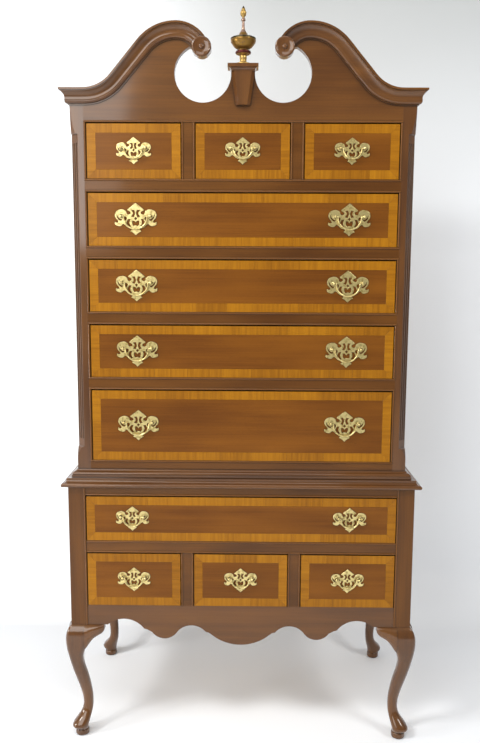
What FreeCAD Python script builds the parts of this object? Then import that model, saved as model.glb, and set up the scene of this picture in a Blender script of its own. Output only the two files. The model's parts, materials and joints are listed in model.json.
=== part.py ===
"""Highboy: a chest of drawers on a base with cabriole legs and a broken-scroll pediment.

Millimetres. +Z is up, +X is to the right of a person who faces the drawers, and the drawers open
towards -Y. The origin is on the floor under the middle of the whole piece.
"""
import FreeCAD, Part
import os
import re
import Sketcher

Vector = FreeCAD.Vector

doc = FreeCAD.newDocument("highboy")

# --------------------------------------------------------------------------------------------
# Driving dimensions
# --------------------------------------------------------------------------------------------
SIZES = {
    # cases
    "base_width": 965,
    "base_depth": 510,
    "base_bottom": 346,
    "chest_inset": 25,
    "chest_setback": 20,
    "chest_head": 83,
    "top_board_rise": 25,
    "panel": 20,
    "back_panel": 8,
    "board": 18,
    "rail_depth": 30,
    "bead": 5.5,
    "bead_proud": 2.4,
    "fit_gap": 0.3,
    # base openings, from the bottom
    "base_post": 48,
    "base_divider": 35,
    "apron_rise": 58.5,
    "base_small_opening": 156,
    "base_rail": 35,
    "base_long_opening": 130.5,
    "base_top_rail": 26,
    # chest openings, from the bottom
    "corner_post": 36,
    "corner_post_depth": 46,
    "chest_bottom_rail": 47,
    "chest_rail": 34.5,
    "chest_divider": 36,
    "opening_first": 200,
    "opening_second": 145.5,
    "opening_third": 142.5,
    "opening_fourth": 142.5,
    "opening_small": 145.5,
    # apron outline, from the middle outwards: places across, and falls below the base's bottom
    "apron_drop": 57.5,
    "apron_drop_side": 71,
    "apron_drop_side_fall": 36,
    "apron_cusp": 99,
    "apron_cusp_fall": 19.5,
    "apron_arch": 138,
    "apron_arch_fall": 0.5,
    "apron_lobe_start": 180,
    "apron_lobe_start_fall": 20,
    "apron_lobe": 216,
    "apron_lobe_fall": 40.5,
    "apron_lobe_end": 252,
    "apron_lobe_end_fall": 21.5,
    "apron_outer_cusp": 275,
    "apron_outer_cusp_fall": 11.5,
    "apron_end_arch": 320,
    "apron_end_arch_rise": 16.5,
    "apron_end": 378,
    "cusp_step": 9,
    "cusp_fall": 2.5,
    "side_arch_rise": 26,
    # cabriole legs: height or fall, width across, and inset of the middle from the case's corner
    "leg_flat": 38,
    "leg_top_width": 47,
    "shoulder_fall": 13,
    "shoulder_width": 57,
    "shoulder_inset": 18.5,
    "knee_fall": 46,
    "knee_width": 62.5,
    "knee_inset": 15,
    "calf_fall": 99,
    "calf_width": 40,
    "calf_inset": 10.5,
    "shin_height": 190,
    "shin_width": 35.5,
    "shin_inset": 20.2,
    "lower_shin_height": 140,
    "lower_shin_width": 32,
    "lower_shin_inset": 31,
    "ankle_height": 100,
    "ankle_width": 28.8,
    "ankle_inset": 36,
    "instep_height": 66,
    "instep_width": 31.5,
    "instep_inset": 32.3,
    "toe_height": 35,
    "toe_width": 46,
    "toe_inset": 17.5,
    "sole_height": 19,
    "sole_width": 36,
    "sole_inset": 20.3,
    "pad_radius": 19.6,
    "pad_round": 5,
    # knee blocks: reach along the case, drop below it and how far they stand proud, from leg to tip
    "knee_block_reach": 56,
    "knee_block_drop": 72,
    "knee_block_proud": 15.4,
    "knee_block_neck_drop": 53,
    "knee_block_neck_proud": 13.6,
    "knee_block_middle_drop": 35,
    "knee_block_middle_proud": 10.8,
    "knee_block_end_drop": 25,
    "knee_block_end_proud": 7.5,
    "knee_block_tip_drop": 15,
    "knee_block_tip_proud": 3,
    "knee_block_depth": 18,
    # waist and foot mouldings
    "waist_height": 24,
    "waist_overhang": 16.5,
    "waist_nose": 12,
    "waist_cove": 9,
    "waist_strip": 40,
    "foot_moulding_height": 21.5,
    "foot_moulding_proud": 15,
    # canted corners
    "cant": 20,
    "cant_start": 85,
    "cant_end": 30,
    "tongue_bottom": 31,
    "tongue_top": 72,
    "tongue_step": 5,
    "tongue_ledge": 2,
    "flute_radius": 2.6,
    "flute_spacing": 9,
    "flute_margin": 24,
    # pediment: the scroll and the cut-outs keep their shape as the frame between the posts widens
    "tympanum_depth": 22,
    "cornice_rise": 64,
    "cornice_width": 40.6,
    "cornice_proud": 24,
    "scroll_drawn_half": 421.5,
    "scroll_inset": 3.5,
    "scroll_sweep_radius": 114.3,
    "scroll_slope": 49.8,
    "scroll_straight": 111.2,
    "scroll_crown_radius": 111.5,
    "scroll_curl_radius": 72,
    "scroll_curl": 67,
    "rosette_radius": 25.5,
    "rosette_proud": 31,
    "cutout_offset": 105.5,
    "cutout_rise": 61,
    "cutout_radius": 74.5,
    "cutout_mouth": 118,
    # plinth and finial
    "neck_rise": 3,
    "plinth_height": 85,
    "plinth_bottom_width": 38,
    "plinth_top_width": 62,
    "plinth_cap_height": 17,
    "plinth_proud": 14,
    "plinth_chamfer": 8,
    "plinth_cap_overhang": 9,
    "finial_height": 146,
    "finial_foot_radius": 19,
    "finial_stem_radius": 8.5,
    "finial_ring_radius": 20.5,
    "finial_bowl_radius": 33,
    "finial_spire_radius": 3.4,
    "finial_tip_radius": 7.6,
    # drawers
    "drawer_side_gap": 2,
    "drawer_top_gap": 3,
    "drawer_front": 19,
    "drawer_lap": 5,
    "drawer_side": 11,
    "dovetail_flare": 2.5,
    "drawer_back": 11,
    "drawer_bottom": 6,
    "drawer_bottom_raise": 9,
    "drawer_side_drop": 6,
    "drawer_back_gap": 24,
    "runner_lip": 12,
    "runner_height": 20,
    "guide_height": 18,
    "stop_length": 40,
    "stop_height": 5,
    # drawer pulls
    "long_pull_inset": 130,
    "base_pull_inset": 131,
    "large_plate": 112,
    "large_boring": 78,
    "small_plate": 92,
    "small_boring": 64,
    "plate_depth": 2.2,
    "bail_wire": 2.1,
    "bail_turn": 3.2,
    "bail_play": 0.08,
    "pivot_raise": 8,
    "post_reach": 11,
    "post_radius": 3,
    "post_collar_radius": 5.2,
    "post_ball": 4.6,
}

sheet = doc.addObject("Spreadsheet::Sheet", "sizes")
for row, (alias, amount) in enumerate(SIZES.items(), start=1):
    sheet.set(f"A{row}", alias)
    sheet.set(f"B{row}", str(amount))
    sheet.setAlias(f"B{row}", alias)
doc.recompute()


# Places that follow from the sizes, by the names that formulas use. They are filled in below.
FOLLOWING = {}


def formula(text):
    """A formula written with the names of sizes and places, as the expression that refers to the sheet."""
    def spelled(match):
        name = match[0]
        if name in FOLLOWING:
            return f"({formula(FOLLOWING[name])})"
        return f"sizes.{name}" if name in SIZES else name

    return re.sub(r"[a-z][a-z_]*", spelled, str(text))


def value(text):
    """What a formula gives now."""
    return float(sheet.evalExpression(formula(text)))


def bind(thing, **formulas):
    """Tie properties of a document object to formulas."""
    for name, text in formulas.items():
        thing.setExpression(name.replace("__", "."), formula(text))


# --------------------------------------------------------------------------------------------
# Places that several sub-parts share, as formulas
# --------------------------------------------------------------------------------------------
BASE_FRONT = "(-base_depth / 2)"
BASE_BACK = "(base_depth / 2)"
BASE_HALF = "(base_width / 2)"
BASE_OPENING_HALF = f"({BASE_HALF} - base_post)"
BASE_SMALL_TOP = "(apron_top + base_small_opening)"
BASE_LONG_BOTTOM = f"({BASE_SMALL_TOP} + base_rail)"
BASE_LONG_TOP = f"({BASE_LONG_BOTTOM} + base_long_opening)"

CHEST_FRONT = f"({BASE_FRONT} + chest_setback)"
CHEST_BACK = BASE_BACK
CHEST_BOTTOM = "(base_top + waist_height)"
CHEST_HALF = f"({BASE_HALF} - chest_inset)"
RAIL_HALF = f"({CHEST_HALF} - corner_post)"
CHEST_OPENING_HALF = f"({RAIL_HALF} - bead)"
FIRST_BOTTOM = f"({CHEST_BOTTOM} + chest_bottom_rail)"
SECOND_BOTTOM = f"({FIRST_BOTTOM} + opening_first + chest_rail)"
THIRD_BOTTOM = f"({SECOND_BOTTOM} + opening_second + chest_rail)"
FOURTH_BOTTOM = f"({THIRD_BOTTOM} + opening_third + chest_rail)"
SMALL_BOTTOM = f"({FOURTH_BOTTOM} + opening_fourth + chest_rail)"
SMALL_TOP = f"({SMALL_BOTTOM} + opening_small)"

FOLLOWING.update({
    "apron_top": "base_bottom + apron_rise",
    "base_top": f"{BASE_LONG_TOP} + base_top_rail",
    "cant_bottom": f"{CHEST_BOTTOM} + cant_start",
    "cant_top": f"{SMALL_TOP} - cant_end",
    "chest_top": f"{SMALL_TOP} + chest_head",
    "cornice_middle": f"{SMALL_TOP} + cornice_rise",
    "scroll_share": f"{RAIL_HALF} / scroll_drawn_half",
    "cutout_height": "cornice_middle + cutout_rise * scroll_share",
    "plinth_body_top": "cutout_height + neck_rise",
    "plinth_bottom": "plinth_body_top - plinth_height",
})

# --------------------------------------------------------------------------------------------
# Drawing tools
# --------------------------------------------------------------------------------------------
TURNS = {
    "XY_Plane": FreeCAD.Rotation(),
    "XZ_Plane": FreeCAD.Rotation(Vector(1, 0, 0), 90),
    "YZ_Plane": FreeCAD.Rotation(Vector(0, 0, 1), 90) * FreeCAD.Rotation(Vector(1, 0, 0), 90),
}


def draw(sketch, steps, closed=True):
    """Draw an outline whose corners are all placed from the sketch's origin.

    A step (a, b) is a straight line to that corner, and (a, b, c, d) is an arc through (a, b) to the
    corner (c, d). An open line starts at its first corner. A straight step of no length is left out.
    """
    placed = []
    joins = []

    def point(corner):
        return Vector(value(corner[0]), value(corner[1]), 0)

    starts = [step[-2:] for step in steps[-1:] + steps[:-1]]
    ends = []
    for start, step in list(zip(starts, steps))[0 if closed else 1:]:
        corner = step[-2:]
        first, last = point(start), point(corner)
        if len(step) == 4:
            through = point(step[:2])
            shape = sketch.addGeometry(Part.Arc(first, through, last))
            anticlockwise = (through - first).cross(last - through).z > 0
            ends.append((shape, 1, 2, corner) if anticlockwise else (shape, 2, 1, corner))
            mark = sketch.addGeometry(Part.Point(through), True)
            placed.append((mark, 1, step[:2]))
            joins.append(Sketcher.Constraint("PointOnObject", mark, 1, shape))
        elif (last - first).Length > 1e-6:
            ends.append((sketch.addGeometry(Part.LineSegment(first, last)), 1, 2, corner))
    for index, (shape, first, last, corner) in enumerate(ends):
        placed.append((shape, last, corner))
        after = ends[(index + 1) % len(ends)]
        if closed or index + 1 < len(ends):
            joins.append(Sketcher.Constraint("Coincident", shape, last, after[0], after[1]))
    if not closed:
        placed.append((ends[0][0], ends[0][1], steps[0]))

    distances = [(Sketcher.Constraint(kind, -1, 1, shape, end, value(text)), text)
                 for shape, end, corner in placed
                 for kind, text in zip(("DistanceX", "DistanceY"), corner)]
    numbers = sketch.addConstraint([distance for distance, _ in distances] + joins)
    for number, (_, text) in zip(numbers, distances):
        sketch.setExpression(f"Constraints[{number}]", formula(text))
    return sketch


def sketch_in(body, name, role, steps, lift="0", shift="0"):
    """A closed sketch on one of the body's own origin planes, lifted along the plane's normal."""
    sketch = body.newObject("Sketcher::SketchObject", name)
    plane = next(f for f in body.Origin.OriginFeatures if f.Role == role)
    sketch.AttachmentSupport = [(plane, "")]
    sketch.MapMode = "FlatFace"
    bind(sketch, AttachmentOffset__Base__z=lift, AttachmentOffset__Base__x=shift)
    return draw(sketch, steps)


def body_at(label, x="0", y="0", z="0"):
    body = doc.addObject("PartDesign::Body", label)
    body.Label = label
    bind(body, Placement__Base__x=x, Placement__Base__y=y, Placement__Base__z=z)
    return body


def slab(label, role, steps, depth, x="0", y="0", z="0"):
    """A piece of one outline and one depth, along the plane's normal (-Y for the XZ plane)."""
    body = body_at(label, x, y, z)
    pad = body.newObject("PartDesign::Pad", label + "_pad")
    pad.Profile = sketch_in(body, label + "_outline", role, steps)
    bind(pad, Length=depth)
    return body


def turned(label, steps, x="0", y="0", z="0", role="XZ_Plane"):
    """A turned piece: the outline, in radius and height, goes round the plane's own upright axis."""
    body = body_at(label, x, y, z)
    turning = body.newObject("PartDesign::Revolution", label + "_turning")
    profile = sketch_in(body, label + "_profile", role, steps)
    turning.Profile = profile
    turning.ReferenceAxis = (profile, ["V_Axis"])
    turning.Angle = 360
    return body


def box(name, low, high):
    """A board between two opposite corners, each given as three formulas."""
    board = doc.addObject("Part::Box", name)
    spans = [f"({b}) - ({a})" for a, b in zip(low, high)]
    bind(board, Length=spans[0], Width=spans[1], Height=spans[2])
    bind(board, Placement__Base__x=low[0], Placement__Base__y=low[1], Placement__Base__z=low[2])
    return board


def cylinder(name, radius, height, x, y, z, direction=Vector(0, 0, 1)):
    rod = doc.addObject("Part::Cylinder", name)
    rod.Placement = FreeCAD.Placement(Vector(), FreeCAD.Rotation(Vector(0, 0, 1), direction))
    bind(rod, Radius=radius, Height=height)
    bind(rod, Placement__Base__x=x, Placement__Base__y=y, Placement__Base__z=z)
    return rod


def ball(name, radius, x, y, z):
    globe = doc.addObject("Part::Sphere", name)
    bind(globe, Radius=radius, Placement__Base__x=x, Placement__Base__y=y, Placement__Base__z=z)
    return globe


def mirrored(source, name, normal, x="0", y="0"):
    """A mirror image across an upright plane through (x, y)."""
    image = doc.addObject("Part::Mirroring", name)
    image.Source = source
    image.Normal = normal
    bind(image, Base__x=x, Base__y=y)
    return image


def across(source, name):
    """The same piece on the other side of the middle plane."""
    return mirrored(source, name, Vector(1, 0, 0))


def cut(name, base, tool):
    result = doc.addObject("Part::Cut", name)
    result.Base = base
    result.Tool = tool
    return result


def joined(kind, name, shapes):
    """Shapes joined as a Part::MultiFuse or kept apart as a Part::Compound."""
    result = doc.addObject(kind, name)
    if kind == "Part::Compound":
        result.Links = shapes
    else:
        result.Shapes = shapes
    return result


def copy_at(source, name, x, y, z):
    """The same shape again, at another place."""
    link = doc.addObject("App::Link", name)
    link.LinkedObject = source
    bind(link, Placement__Base__x=x, Placement__Base__y=y, Placement__Base__z=z)
    return link


def prism(name, role, steps, start, length, normal):
    """An outline drawn on a main plane and pushed along the plane's normal from a start place."""
    sketch = doc.addObject("Sketcher::SketchObject", name + "_outline")
    sketch.Placement = FreeCAD.Placement(Vector(), TURNS[role])
    axis = {"XY_Plane": "z", "XZ_Plane": "y", "YZ_Plane": "x"}[role]
    bind(sketch, **{f"Placement__Base__{axis}": start})
    draw(sketch, steps)
    solid = doc.addObject("Part::Extrusion", name)
    solid.Base = sketch
    solid.DirMode = "Custom"
    solid.Dir = normal
    solid.Solid = True
    bind(solid, LengthFwd=length)
    return solid


NODES = []


def node(label, *members):
    """Hand one shape, or several kept as separate solids, over as a sub-part of the highboy."""
    thing = members[0] if len(members) == 1 else joined("Part::Compound", label, list(members))
    thing.Label = label
    NODES.append(thing)
    return thing


# --------------------------------------------------------------------------------------------
# Cabriole legs and knee blocks
# --------------------------------------------------------------------------------------------
def rounded_square(inset, width, roundness):
    """A square section with rounded corners. Its middle is the same inset in from both case sides."""
    near, far = f"{inset} - {width} / 2", f"{inset} + {width} / 2"
    radius = f"{width} / 2 * {roundness}"
    sag = f"{radius} * (1 - sqrt(0.5))"
    return [
        (f"{near} + {radius}", near), (f"{far} - {radius}", near),
        (f"{far} - {sag}", f"{near} + {sag}", far, f"{near} + {radius}"),
        (far, f"{far} - {radius}"),
        (f"{far} - {sag}", f"{far} - {sag}", f"{far} - {radius}", far),
        (f"{near} + {radius}", far),
        (f"{near} + {sag}", f"{far} - {sag}", near, f"{far} - {radius}"),
        (near, f"{near} + {radius}"),
        (f"{near} + {sag}", f"{near} + {sag}", f"{near} + {radius}", near),
    ][1:]


def cabriole_leg():
    """The front left leg: lofted sections, two flats for the knee blocks and a turned pad."""
    body = body_at("leg_front_left", f"-{BASE_HALF}", BASE_FRONT)
    stations = [
        ("top", "base_bottom", "leg_top_width / 2", "leg_top_width", 0.12),
        ("shoulder", "base_bottom - shoulder_fall", "shoulder_inset", "shoulder_width", 0.24),
        ("knee", "base_bottom - knee_fall", "knee_inset", "knee_width", 0.4),
        ("calf", "base_bottom - calf_fall", "calf_inset", "calf_width", 0.6),
        ("shin", "shin_height", "shin_inset", "shin_width", 0.74),
        ("lower_shin", "lower_shin_height", "lower_shin_inset", "lower_shin_width", 0.84),
        ("ankle", "ankle_height", "ankle_inset", "ankle_width", 0.92),
        ("instep", "instep_height", "instep_inset", "instep_width", 0.9),
        ("toe", "toe_height", "toe_inset", "toe_width", 0.82),
        ("sole", "sole_height", "sole_inset", "sole_width", 0.92),
    ]
    sections = [
        sketch_in(body, f"leg_{name}", "XY_Plane", rounded_square(inset, width, roundness), height)
        for name, height, inset, width, roundness in stations
    ]
    loft = body.newObject("PartDesign::AdditiveLoft", "leg_shape")
    loft.Profile = sections[0]
    loft.Sections = sections[1:]
    loft.Ruled = False
    doc.recompute()

    beyond = "base_post * 2"
    flats = body.newObject("PartDesign::Pocket", "leg_flats")
    flats.Profile = sketch_in(body, "leg_flats_outline", "XY_Plane", [
        ("leg_flat", "leg_flat"), ("leg_flat", f"-{beyond}"), (beyond, f"-{beyond}"),
        (beyond, beyond), (f"-{beyond}", beyond), (f"-{beyond}", "leg_flat"),
    ], "base_bottom")
    bind(flats, Length="calf_fall")

    pad = body.newObject("PartDesign::Revolution", "leg_pad")
    sag = "pad_round * (1 - sqrt(0.5))"
    profile = sketch_in(body, "leg_pad_profile", "XZ_Plane", [
        ("0", "0"), ("pad_radius - pad_round", "0"),
        (f"pad_radius - {sag}", sag, "pad_radius", "pad_round"),
        ("pad_radius", "sole_height - pad_round"),
        (f"pad_radius - {sag}", f"sole_height - {sag}", "pad_radius - pad_round", "sole_height"),
        ("0", "sole_height"),
    ], "-sole_inset", "sole_inset")
    pad.Profile = profile
    pad.ReferenceAxis = (profile, ["V_Axis"])
    pad.Angle = 360
    return body


leg = cabriole_leg()
rear_leg = mirrored(leg, "leg_rear_left", Vector(0, 1, 0))
node("leg_front_left", leg)
node("leg_front_right", across(leg, "leg_front_right"))
node("leg_rear_left", rear_leg)
node("leg_rear_right", across(rear_leg, "leg_rear_right"))


def knee_block():
    """The block between the front left leg and the apron, lofted from the leg out to its tip."""
    body = body_at("knee_block", f"-{BASE_HALF}", BASE_FRONT)
    stations = [
        ("root", 0, "knee_block_proud", "knee_block_drop"),
        ("neck", 0.25, "knee_block_neck_proud", "knee_block_neck_drop"),
        ("middle", 0.56, "knee_block_middle_proud", "knee_block_middle_drop"),
        ("end", 0.86, "knee_block_end_proud", "knee_block_end_drop"),
        ("tip", 1, "knee_block_tip_proud", "knee_block_tip_drop"),
    ]
    sections = []
    for name, share, proud, drop in stations:
        sections.append(sketch_in(body, f"knee_block_{name}", "YZ_Plane", [
            ("knee_block_depth", "base_bottom"), ("0", "base_bottom"),
            (f"-{proud} * 0.66", f"base_bottom - {drop} * 0.13", f"-{proud}", f"base_bottom - {drop} * 0.5"),
            (f"-{proud} * 0.93", f"base_bottom - {drop} * 0.8", f"-{proud} * 0.5", f"base_bottom - {drop}"),
            ("knee_block_depth", f"base_bottom - {drop}"),
        ], f"leg_flat + knee_block_reach * {share}"))
    loft = body.newObject("PartDesign::AdditiveLoft", "knee_block_shape")
    loft.Profile = sections[0]
    loft.Sections = sections[1:]
    loft.Ruled = False
    return body


front_block = knee_block()
side_block = mirrored(front_block, "knee_block_side", Vector(1, -1, 0), f"-{BASE_HALF}", BASE_FRONT)
rear_block = mirrored(side_block, "knee_block_rear", Vector(0, 1, 0))
left_blocks = [front_block, side_block, rear_block]
node("knee_blocks", *left_blocks, *[across(block, block.Name + "_right") for block in left_blocks])


# --------------------------------------------------------------------------------------------
# Base: posts, rails, apron, sides
# --------------------------------------------------------------------------------------------
def beaded(across_low, across_high, depth, low=True, high=True):
    """The section of a rail or post: its front face at 0, with a round bead along one or both edges."""
    steps = [(across_low, depth), (across_low, "0")]
    if low:
        steps.append((f"{across_low} + bead / 2", "-bead_proud", f"{across_low} + bead", "0"))
    if high:
        steps.append((f"{across_high} - bead", "0"))
        steps.append((f"{across_high} - bead / 2", "-bead_proud", across_high, "0"))
    else:
        steps.append((across_high, "0"))
    return steps + [(across_high, depth)]


def swapped(step):
    """A step with its two directions exchanged."""
    return step[1::-1] + step[:1:-1]


def beaded_rail(label, bottom, top, half_length, front, low=True, high=True):
    section = [swapped(step) for step in beaded(bottom, top, "rail_depth", low, high)]
    return slab(label, "YZ_Plane", section, f"2 * {half_length}", f"-{half_length}", front)


def beaded_upright(label, left, right, bottom, top, front, depth="rail_depth", low=True, high=True):
    return slab(label, "XY_Plane", beaded(left, right, depth, low, high), f"{top} - {bottom}",
                y=front, z=bottom)


def divider_places(opening_half, divider):
    """The left edges of two dividers that part an opening into three equal ones."""
    third = f"((2 * {opening_half} - 2 * {divider}) / 3)"
    return f"(-{opening_half} + {third})", f"({opening_half} - {third} - {divider})", third


front_post = slab("base_post_front", "XY_Plane", beaded("0", "base_post", "base_post", low=False),
                  "base_top - base_bottom", f"-{BASE_HALF}", BASE_FRONT, "base_bottom")
rear_post = box("base_post_rear", (f"-{BASE_HALF}", f"{BASE_BACK} - base_post", "base_bottom"),
                (f"-{BASE_OPENING_HALF}", BASE_BACK, "base_top"))
node("base_posts", front_post, rear_post,
     across(front_post, "base_post_front_right"), across(rear_post, "base_post_rear_right"))

side_arch_start = "knee_block_reach + leg_flat - base_post + bead"
side_run = "(base_depth - 2 * base_post)"
base_side = slab("base_side", "YZ_Plane", [
    ("0", "0"), (side_arch_start, "0"),
    (f"{side_run} / 2", "side_arch_rise", f"{side_run} - {side_arch_start}", "0"),
    (side_run, "0"), (side_run, "base_top - base_bottom"), ("0", "base_top - base_bottom"),
], "panel", f"-{BASE_HALF}", f"{BASE_FRONT} + base_post", "base_bottom")
node("base_sides", base_side, across(base_side, "base_side_right"))

base_left, base_right, BASE_THIRD = divider_places(BASE_OPENING_HALF, "base_divider")
node("base_front_frame",
     beaded_rail("base_top_rail", BASE_LONG_TOP, "base_top", BASE_OPENING_HALF, BASE_FRONT, high=False),
     beaded_rail("base_middle_rail", BASE_SMALL_TOP, BASE_LONG_BOTTOM, BASE_OPENING_HALF, BASE_FRONT),
     *[beaded_upright(f"base_divider_{side}", left, f"{left} + base_divider", "apron_top",
                      BASE_SMALL_TOP, BASE_FRONT)
       for side, left in (("left", base_left), ("right", base_right))])


def apron_half(sign):
    """The lower edge from the middle lobe's end out to the post, on one side."""
    def at(x, fall):
        return (f"{sign}{x}", f"base_bottom - ({fall})")

    return [
        at("(apron_cusp - cusp_step)", "apron_cusp_fall + cusp_fall"),
        at("apron_cusp", "apron_cusp_fall"),
        at("apron_arch", "apron_arch_fall") + at("apron_lobe_start", "apron_lobe_start_fall"),
        at("apron_lobe", "apron_lobe_fall") + at("apron_lobe_end", "apron_lobe_end_fall"),
        at("(apron_outer_cusp - cusp_step)", "apron_outer_cusp_fall + cusp_fall"),
        at("apron_outer_cusp", "apron_outer_cusp_fall"),
        at("apron_end_arch", "-apron_end_arch_rise") + at("apron_end", "0"),
        at(BASE_OPENING_HALF, "0"),
        at(BASE_OPENING_HALF, "-apron_rise"),
    ]


def backwards(steps, start):
    """The same edge walked the other way, ending at the given corner."""
    corners = [step[-2:] for step in steps]
    result = [corners[-1]]
    for step, before in zip(reversed(steps), reversed([start] + corners[:-1])):
        result.append(step[:-2] + before)
    return result


drop_side_height = "base_bottom - apron_drop_side_fall"
right_edge = apron_half("")
left_edge = backwards(apron_half("-"), ("-apron_drop_side", drop_side_height))
node("base_apron", slab("base_apron", "XZ_Plane", right_edge + left_edge + [
    ("0", "base_bottom - apron_drop", "apron_drop_side", drop_side_height)],
    "rail_depth", y=f"{BASE_FRONT} + rail_depth"))


# --------------------------------------------------------------------------------------------
# Mouldings round the waist and the chest's foot
# --------------------------------------------------------------------------------------------
def mitre_wedge(name, corner_x, corner_y, from_front):
    """What a front moulding or a side return loses beyond the mitre line of its corner."""
    out_x, out_y = f"{corner_x} - 2 * waist_strip", f"{corner_y} - 2 * waist_strip"
    in_x, in_y = f"{corner_x} + 2 * waist_strip", f"{corner_y} + 2 * waist_strip"
    third = (out_x, in_y) if from_front else (in_x, out_y)
    return prism(name, "XY_Plane", [(in_x, in_y), (out_x, out_y), third],
                 "base_bottom", "chest_top", Vector(0, 0, 1))


def mitred_set(name, profile, half, front, back):
    """A moulding round a case's front and sides. The profile is (out, up) from the case's face."""
    def swung(step, sign, base):
        return tuple(f"{base} {sign} ({text})" if i % 2 == 0 else text for i, text in enumerate(step))

    run = f"({half} + waist_strip)"
    front_bar = prism(f"{name}_front_bar", "YZ_Plane", [swung(step, "-", front) for step in profile],
                      f"-{run}", f"2 * {run}", Vector(1, 0, 0))
    side_bar = prism(f"{name}_side_bar", "XZ_Plane", [swung(step, "-", f"-{half}") for step in profile],
                     back, f"{back} - {front} + waist_strip", Vector(0, -1, 0))
    front_wedge = mitre_wedge(f"{name}_front_wedge", f"-{half}", front, True)
    side_wedge = mitre_wedge(f"{name}_side_wedge", f"-{half}", front, False)
    half_cut = cut(f"{name}_front_left_cut", front_bar, front_wedge)
    front_strip = cut(f"{name}_front", half_cut, across(front_wedge, f"{name}_right_wedge"))
    left = cut(f"{name}_left", side_bar, side_wedge)
    return front_strip, left, across(left, f"{name}_right")


# The waist strips wrap a plain board: a round nose below, a cove above.
waist_profile = [
    ("-waist_strip", "base_top"), ("waist_overhang - waist_nose / 2", "base_top"),
    ("waist_overhang", "base_top + waist_nose / 2", "waist_overhang - waist_nose / 2",
     "base_top + waist_nose"),
    ("waist_overhang - waist_nose / 2 - waist_cove * 0.2", "base_top + waist_nose"),
    ("waist_overhang - waist_nose / 2 - waist_cove * 0.7", "base_top + waist_nose + waist_cove * 0.35",
     "waist_overhang - waist_nose / 2 - waist_cove * 0.8", f"{CHEST_BOTTOM} - bead_proud"),
    ("waist_overhang - waist_nose / 2 - waist_cove * 0.8", CHEST_BOTTOM),
    ("-waist_strip", CHEST_BOTTOM),
]
waist_strips = mitred_set("waist", waist_profile, BASE_HALF, BASE_FRONT, BASE_BACK)
waist_board = box("waist_board", (f"-{BASE_HALF} + waist_strip", f"{BASE_FRONT} + waist_strip", "base_top"),
                  (f"{BASE_HALF} - waist_strip", BASE_BACK, CHEST_BOTTOM))
node("waist_moulding", waist_board, *waist_strips)

foot_profile = [
    ("0", CHEST_BOTTOM), ("foot_moulding_proud", CHEST_BOTTOM),
    ("foot_moulding_proud", f"{CHEST_BOTTOM} + foot_moulding_height * 0.34"),
    ("foot_moulding_proud * 0.88", f"{CHEST_BOTTOM} + foot_moulding_height * 0.34"),
    ("foot_moulding_proud * 0.74", f"{CHEST_BOTTOM} + foot_moulding_height * 0.66",
     "foot_moulding_proud * 0.42", f"{CHEST_BOTTOM} + foot_moulding_height * 0.76"),
    ("foot_moulding_proud * 0.26", f"{CHEST_BOTTOM} + foot_moulding_height * 0.84",
     "foot_moulding_proud * 0.2", f"{CHEST_BOTTOM} + foot_moulding_height"),
    ("0", f"{CHEST_BOTTOM} + foot_moulding_height"),
]
node("chest_foot_moulding", *mitred_set("foot", foot_profile, CHEST_HALF, CHEST_FRONT, CHEST_BACK))


# --------------------------------------------------------------------------------------------
# Chest: corner posts, sides, frame, boards
# --------------------------------------------------------------------------------------------
def fluted_corner():
    """The front left corner post. A cutter with lamb's-tongue ends takes its outer corner off, and
    three round-ended flutes run down the canted face."""
    post = box("corner_post", (f"-{CHEST_HALF}", CHEST_FRONT, CHEST_BOTTOM),
               (f"-{CHEST_HALF} + corner_post", f"{CHEST_FRONT} + corner_post_depth", "chest_top"))
    deep = "cant * sqrt(0.5)"
    outside = "-cant"
    outline = doc.addObject("Sketcher::SketchObject", "cant_outline")
    inwards = FreeCAD.Rotation(Vector(0, 0, 1), 45) * TURNS["XZ_Plane"]
    outline.Placement = FreeCAD.Placement(Vector(), inwards)
    bind(outline, Placement__Base__x=f"-{CHEST_HALF}", Placement__Base__y=CHEST_FRONT)
    draw(outline, [
        (outside, "cant_bottom - tongue_bottom"), ("0", "cant_bottom - tongue_bottom"),
        (f"({deep} - tongue_step) * 0.3", "cant_bottom - tongue_bottom * 0.55",
         f"{deep} - tongue_step", "cant_bottom - tongue_ledge"),
        (deep, "cant_bottom"), (deep, "cant_top"),
        (f"{deep} - tongue_step", "cant_top + tongue_ledge"),
        (f"({deep} - tongue_step) * 0.3", "cant_top + tongue_top * 0.55", "0", "cant_top + tongue_top"),
        (outside, "cant_top + tongue_top"),
    ])
    cutter = doc.addObject("Part::Extrusion", "cant_cutter")
    cutter.Base = outline
    cutter.DirMode = "Custom"
    cutter.Dir = Vector(1, -1, 0)
    cutter.Symmetric = True
    cutter.Solid = True
    bind(cutter, LengthFwd="cant * 4")
    tools = [cutter]
    for index in (-1, 0, 1):
        x = f"-{CHEST_HALF} + cant / 2 + {index} * flute_spacing * sqrt(0.5)"
        y = f"{CHEST_FRONT} + cant / 2 - {index} * flute_spacing * sqrt(0.5)"
        bottom, top = "cant_bottom + flute_margin", "cant_top - flute_margin"
        name = ("flute_outer", "flute_middle", "flute_inner")[index + 1]
        tools.append(cylinder(name, "flute_radius", f"{top} - ({bottom})", x, y, bottom))
        tools.append(ball(f"{name}_bottom", "flute_radius", x, y, bottom))
        tools.append(ball(f"{name}_top", "flute_radius", x, y, top))
    return cut("fluted_corner_left", post, joined("Part::MultiFuse", "corner_cutters", tools))


corner = fluted_corner()
node("fluted_corners", corner, across(corner, "fluted_corner_right"))

chest_side = box("chest_side", (f"-{CHEST_HALF}", f"{CHEST_FRONT} + corner_post_depth", CHEST_BOTTOM),
                 (f"-{CHEST_HALF} + panel", CHEST_BACK, "chest_top"))
node("chest_sides", chest_side, across(chest_side, "chest_side_right"))

BETWEEN_SIDES = f"({CHEST_HALF} - panel)"


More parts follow.
